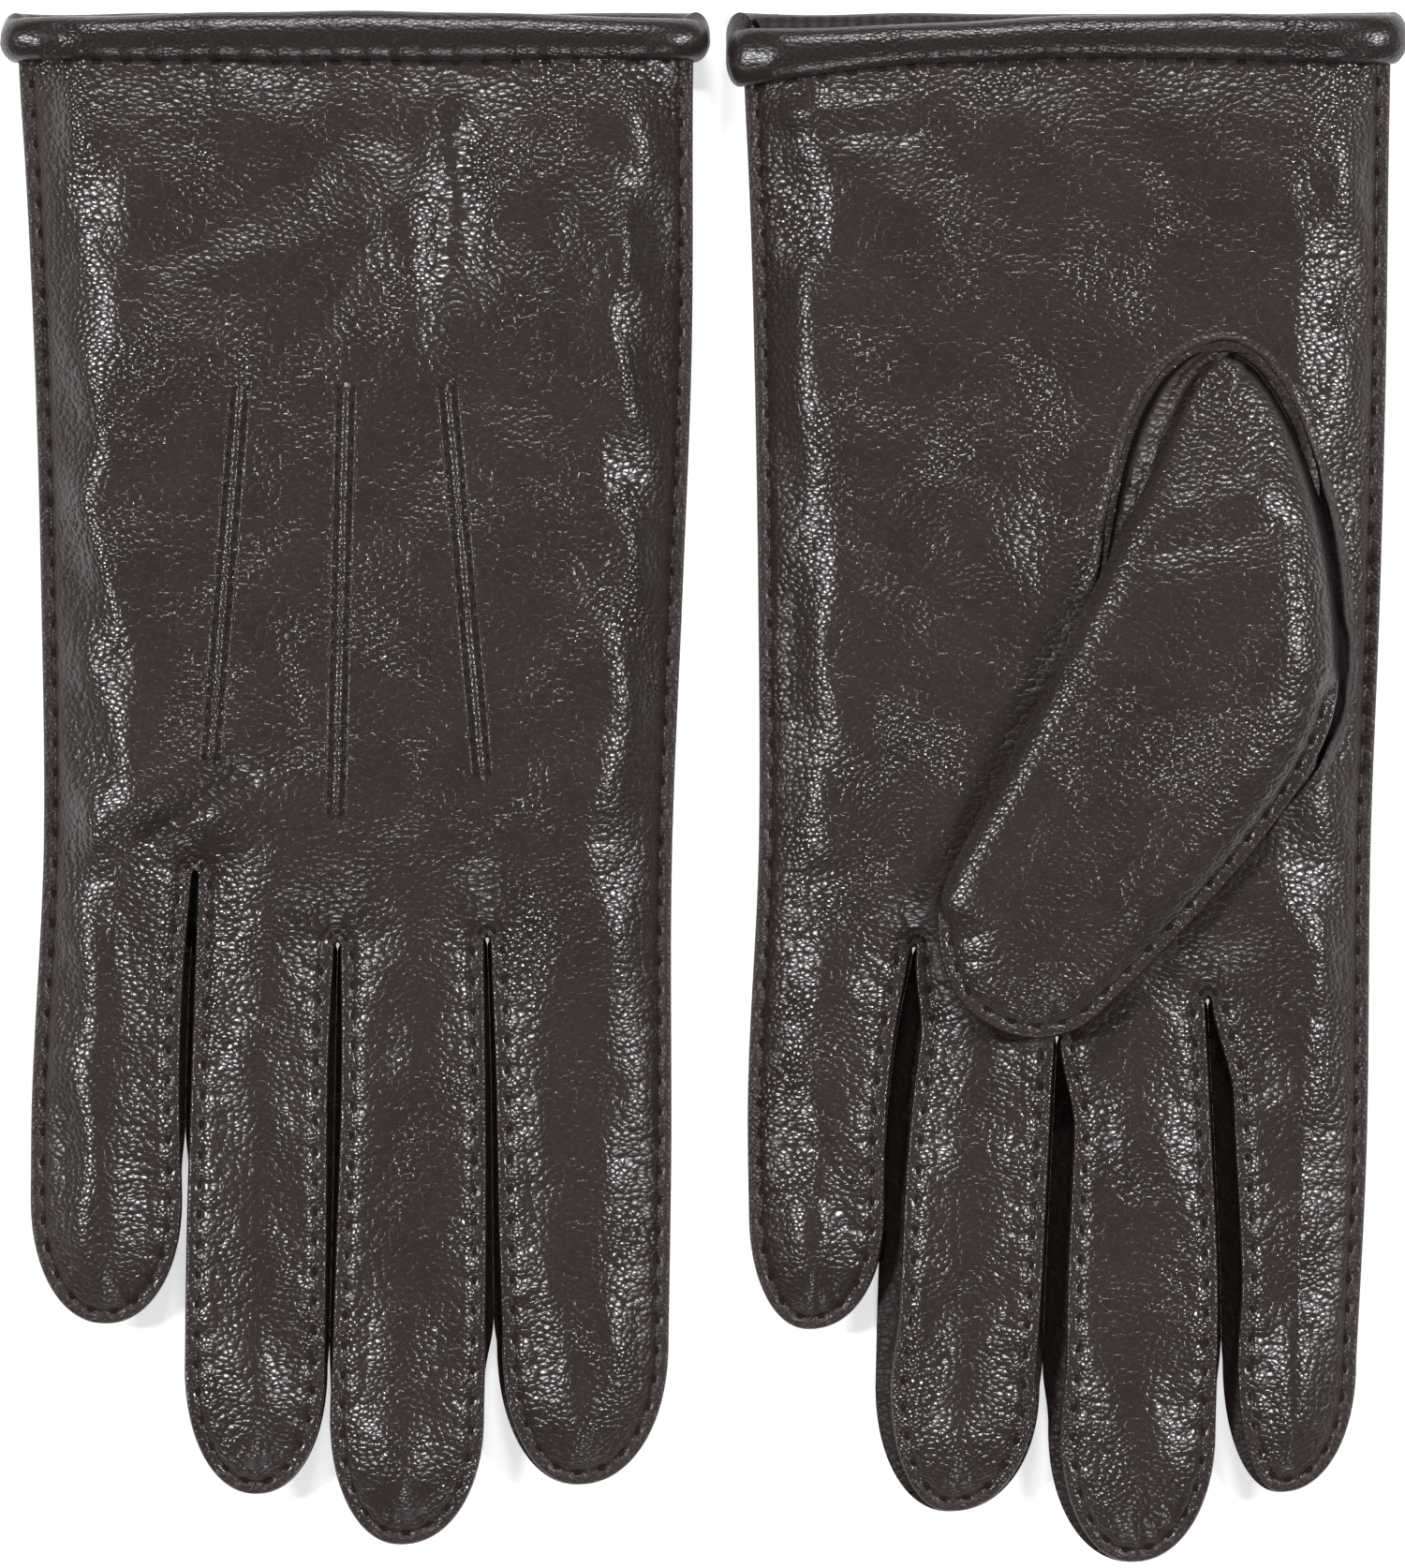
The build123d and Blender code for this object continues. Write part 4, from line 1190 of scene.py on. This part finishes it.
def makeGlove(glove, materials):
    side = glove["side"]
    body = side + "_glove"
    hide, bound = materials["leather"], materials["binding"]
    threads = {face: seamThreads(glove, face, materials["thread"]) for face in ("upper", "lower")}
    for face in ("upper", "lower"):
        place(handSheet(glove, face, hide), body, "glove_leather", f"{side}_{glove[face]}_panel")
        place(threads[face][side + "Hand"], body, "sewing_thread")
    print("hand skins:", side)
    for i, finger in enumerate(glove["fingers"]):
        name = finger["name"]
        for face in ("upper", "lower"):
            sheet = fingerSheet(glove, i, face, hide)
            bendWith(sheet, glove, i, "glove_leather", f"{side}_{name}_{glove[face]}")
            bendWith(threads[face][side + name.capitalize()], glove, i, "sewing_thread")
        ends, sides = ["_fork_strip"], [1 if i == 0 else 0]
        if 0 < i < 3:
            ends, sides = ["_fork_strip_little_side", "_fork_strip_index_side"], [0, 1]
        for which, end in zip(sides, ends):
            bendWith(forkStrip(glove, i, which, hide), glove, i, "glove_leather", f"{side}_{name}{end}")
        bendWith(fingerLining(glove, i, materials["knit"]), glove, i, "lining_knit", f"{side}_{name}_lining")
    print("fingers:", side)
    place(forkWebs(glove, hide), body, "glove_leather", side + "_fork_webs")
    place(barStitches(glove, materials["thread"]), body, "sewing_thread")
    ridges, thread = pointPieces(glove, materials)
    for ridge in ridges:
        place(ridge, body, "glove_leather", side + "_back_points")
    place(thread, body, "sewing_thread")
    place(cuffBinding(glove, bound), body, "binding_leather", side + "_cuff_binding")
    place(cuffThread(glove, materials["thread"]), body, "sewing_thread", side + "_cuff_thread")
    place(handLining(glove, materials["knit"]), body, "lining_knit", side + "_hand_lining")
    print("points, cuff and lining:", side)


def makeThumbs(materials):
    outer, under, thread, lining = leftThumbPieces(materials)
    place(outer, "left_thumb", "glove_leather", "left_thumb_outer")
    place(under, "left_thumb", "glove_leather", "left_thumb_under")
    place(thread, "left_thumb", "sewing_thread")
    place(lining, "left_thumb", "lining_knit", "left_thumb_lining")

    def besideThumb(x, y):
        # the palm's skin, raised to the thumb's edge close to it
        skin = skinHeight(leftGlove, "upper", x, y)
        gap, _ = nearest(thumbLines["left"], x, y)
        near = np.where(insideOf(thumbLines["left"], x, y), 1, 1 - smoothStep((gap - 0.5) / 2.4))
        return skin + np.maximum(12.9 - skin, 0) * near

    line = smoothThrough(ovalLine["left"])
    offset = np.array([k[0] for k in ovalProfile])
    # painted shade round the oval seam: darkest in its groove, fading over the rolls either side
    paintedShade = np.minimum(1.2 * bellAt((offset + 0.1) / 1.3) + 0.9 * bellAt((offset - 0.4) / 2.8), 2.0)
    ridge = raisedSeam("leftThumbCollar", line, besideThumb, ovalProfile, 1, materials["leather"],
                       ease=6, uneven=0.3, paintedShade=paintedShade)
    place(ridge, "left_glove", "glove_leather", "left_thumb_collar")
    gusset = leftGusset(materials["leather"])
    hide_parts("left_thumb_gusset")
    start, _, across = foldLine()
    low, high = start - 5.5 * across, start + 2.3 * across
    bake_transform(gusset)
    outer, under, lining = rightThumbPieces(materials)
    place(outer, "right_thumb", "glove_leather", "right_thumb_outer")
    place(under, "right_thumb", "glove_leather", "right_thumb_under")
    place(lining, "right_thumb", "lining_knit", "right_thumb_lining")

    def overThumb(x, y):
        # the top of the hollow under the right palm, which is flat
        return pocketTop + 0 * x

    line = closedCurve(ovalLine["right"], 0.5)
    low = [(o, h * 0.25) for o, h in ovalProfile]
    ridge = raisedSeam("rightThumbCollar", np.concatenate([line, line[:1]]), overThumb, low, -1,
                       materials["leather"], ease=0.01)
    place(ridge, "right_glove", "glove_leather", "right_thumb_collar")
    place(rightGusset(materials["leather"]), "right_glove", "glove_leather", "right_thumb_gusset")
    print("thumbs")


# soft boxes: name, place and size in metres, and power
lightBoxes = (("leftBox", (-1.15, 0.1, 1.2), (0.16, 0.34), 17),
              ("rightBox", (1.15, 0.2, 1.2), (0.16, 0.34), 17),
              ("cuffBox", (0, 1.3, 1.15), (0.4, 0.16), 12),
              ("tipBox", (0.1, -1.25, 1.15), (0.3, 0.14), 6))
# the camera: where it stands, how wide it sees at the height of the pair's middle, and that height
view = {"place": (-0.0002, 0.0004, 4.0), "wide": 0.225, "height": 0.009, "sensor": 36.0}


def makeStage():
    # a pale floor that glows a little, a camera straight above, and soft boxes to the left, to the right,
    # past the cuffs and past the fingertips
    floor = bpy.data.meshes.new("floor")
    floor.from_pydata([(-3, -3, 0), (3, -3, 0), (3, 3, 0), (-3, 3, 0)], [], [(0, 1, 2, 3)])
    piece = bpy.data.objects.new("floor", floor)
    bpy.context.scene.collection.objects.link(piece)
    pale, _, shader = newMaterial("paleFloor")
    shader.inputs["Base Color"].default_value = (0.9, 0.9, 0.9, 1)
    shader.inputs["Roughness"].default_value = 0.9
    shader.inputs["Specular IOR Level"].default_value = 0.1
    shader.inputs["Emission Color"].default_value = (1, 1, 1, 1)
    shader.inputs["Emission Strength"].default_value = 0.55
    floor.materials.append(pale)
    world = bpy.data.worlds.new("softRoom")
    world.use_nodes = True
    world.node_tree.nodes["Background"].inputs[0].default_value = (1, 1, 1, 1)
    world.node_tree.nodes["Background"].inputs[1].default_value = 0.12
    bpy.context.scene.world = world
    for name, spot, size, power in lightBoxes:
        light = bpy.data.lights.new(name, "AREA")
        light.shape = "RECTANGLE"
        light.size, light.size_y = size
        light.energy = power
        lamp = bpy.data.objects.new(name, light)
        bpy.context.scene.collection.objects.link(lamp)
        lamp.location = spot
        lamp.rotation_euler = (-Vector(spot)).to_track_quat("-Z", "Y").to_euler()
    cam = bpy.data.cameras.new("camera")
    cam.sensor_fit = "HORIZONTAL"
    cam.sensor_width = view["sensor"]
    cam.lens = view["sensor"] * (view["place"][2] - view["height"]) / view["wide"]
    cam.clip_end = 20
    camera = bpy.data.objects.new("camera", cam)
    camera.location = view["place"]
    bpy.context.scene.collection.objects.link(camera)
    bpy.context.scene.camera = camera
    bpy.context.scene.view_settings.view_transform = "Standard"


grain = grainGroup()
bindingLook = dict(leatherLook, pebble=0.0008, grainDepth=0.00005, mid=(0.017, 0.0115, 0.011, 1),
                   rough=(0.2, 0.26))
materials = {"leather": leatherMaterial("gloveLeather", grain, leatherLook),
             "binding": leatherMaterial("bindingLeather", grain, bindingLook),
             "thread": threadMaterial(), "knit": knitMaterial()}
makeStage()
makeGlove(rightGlove, materials)
makeGlove(leftGlove, materials)
makeThumbs(materials)
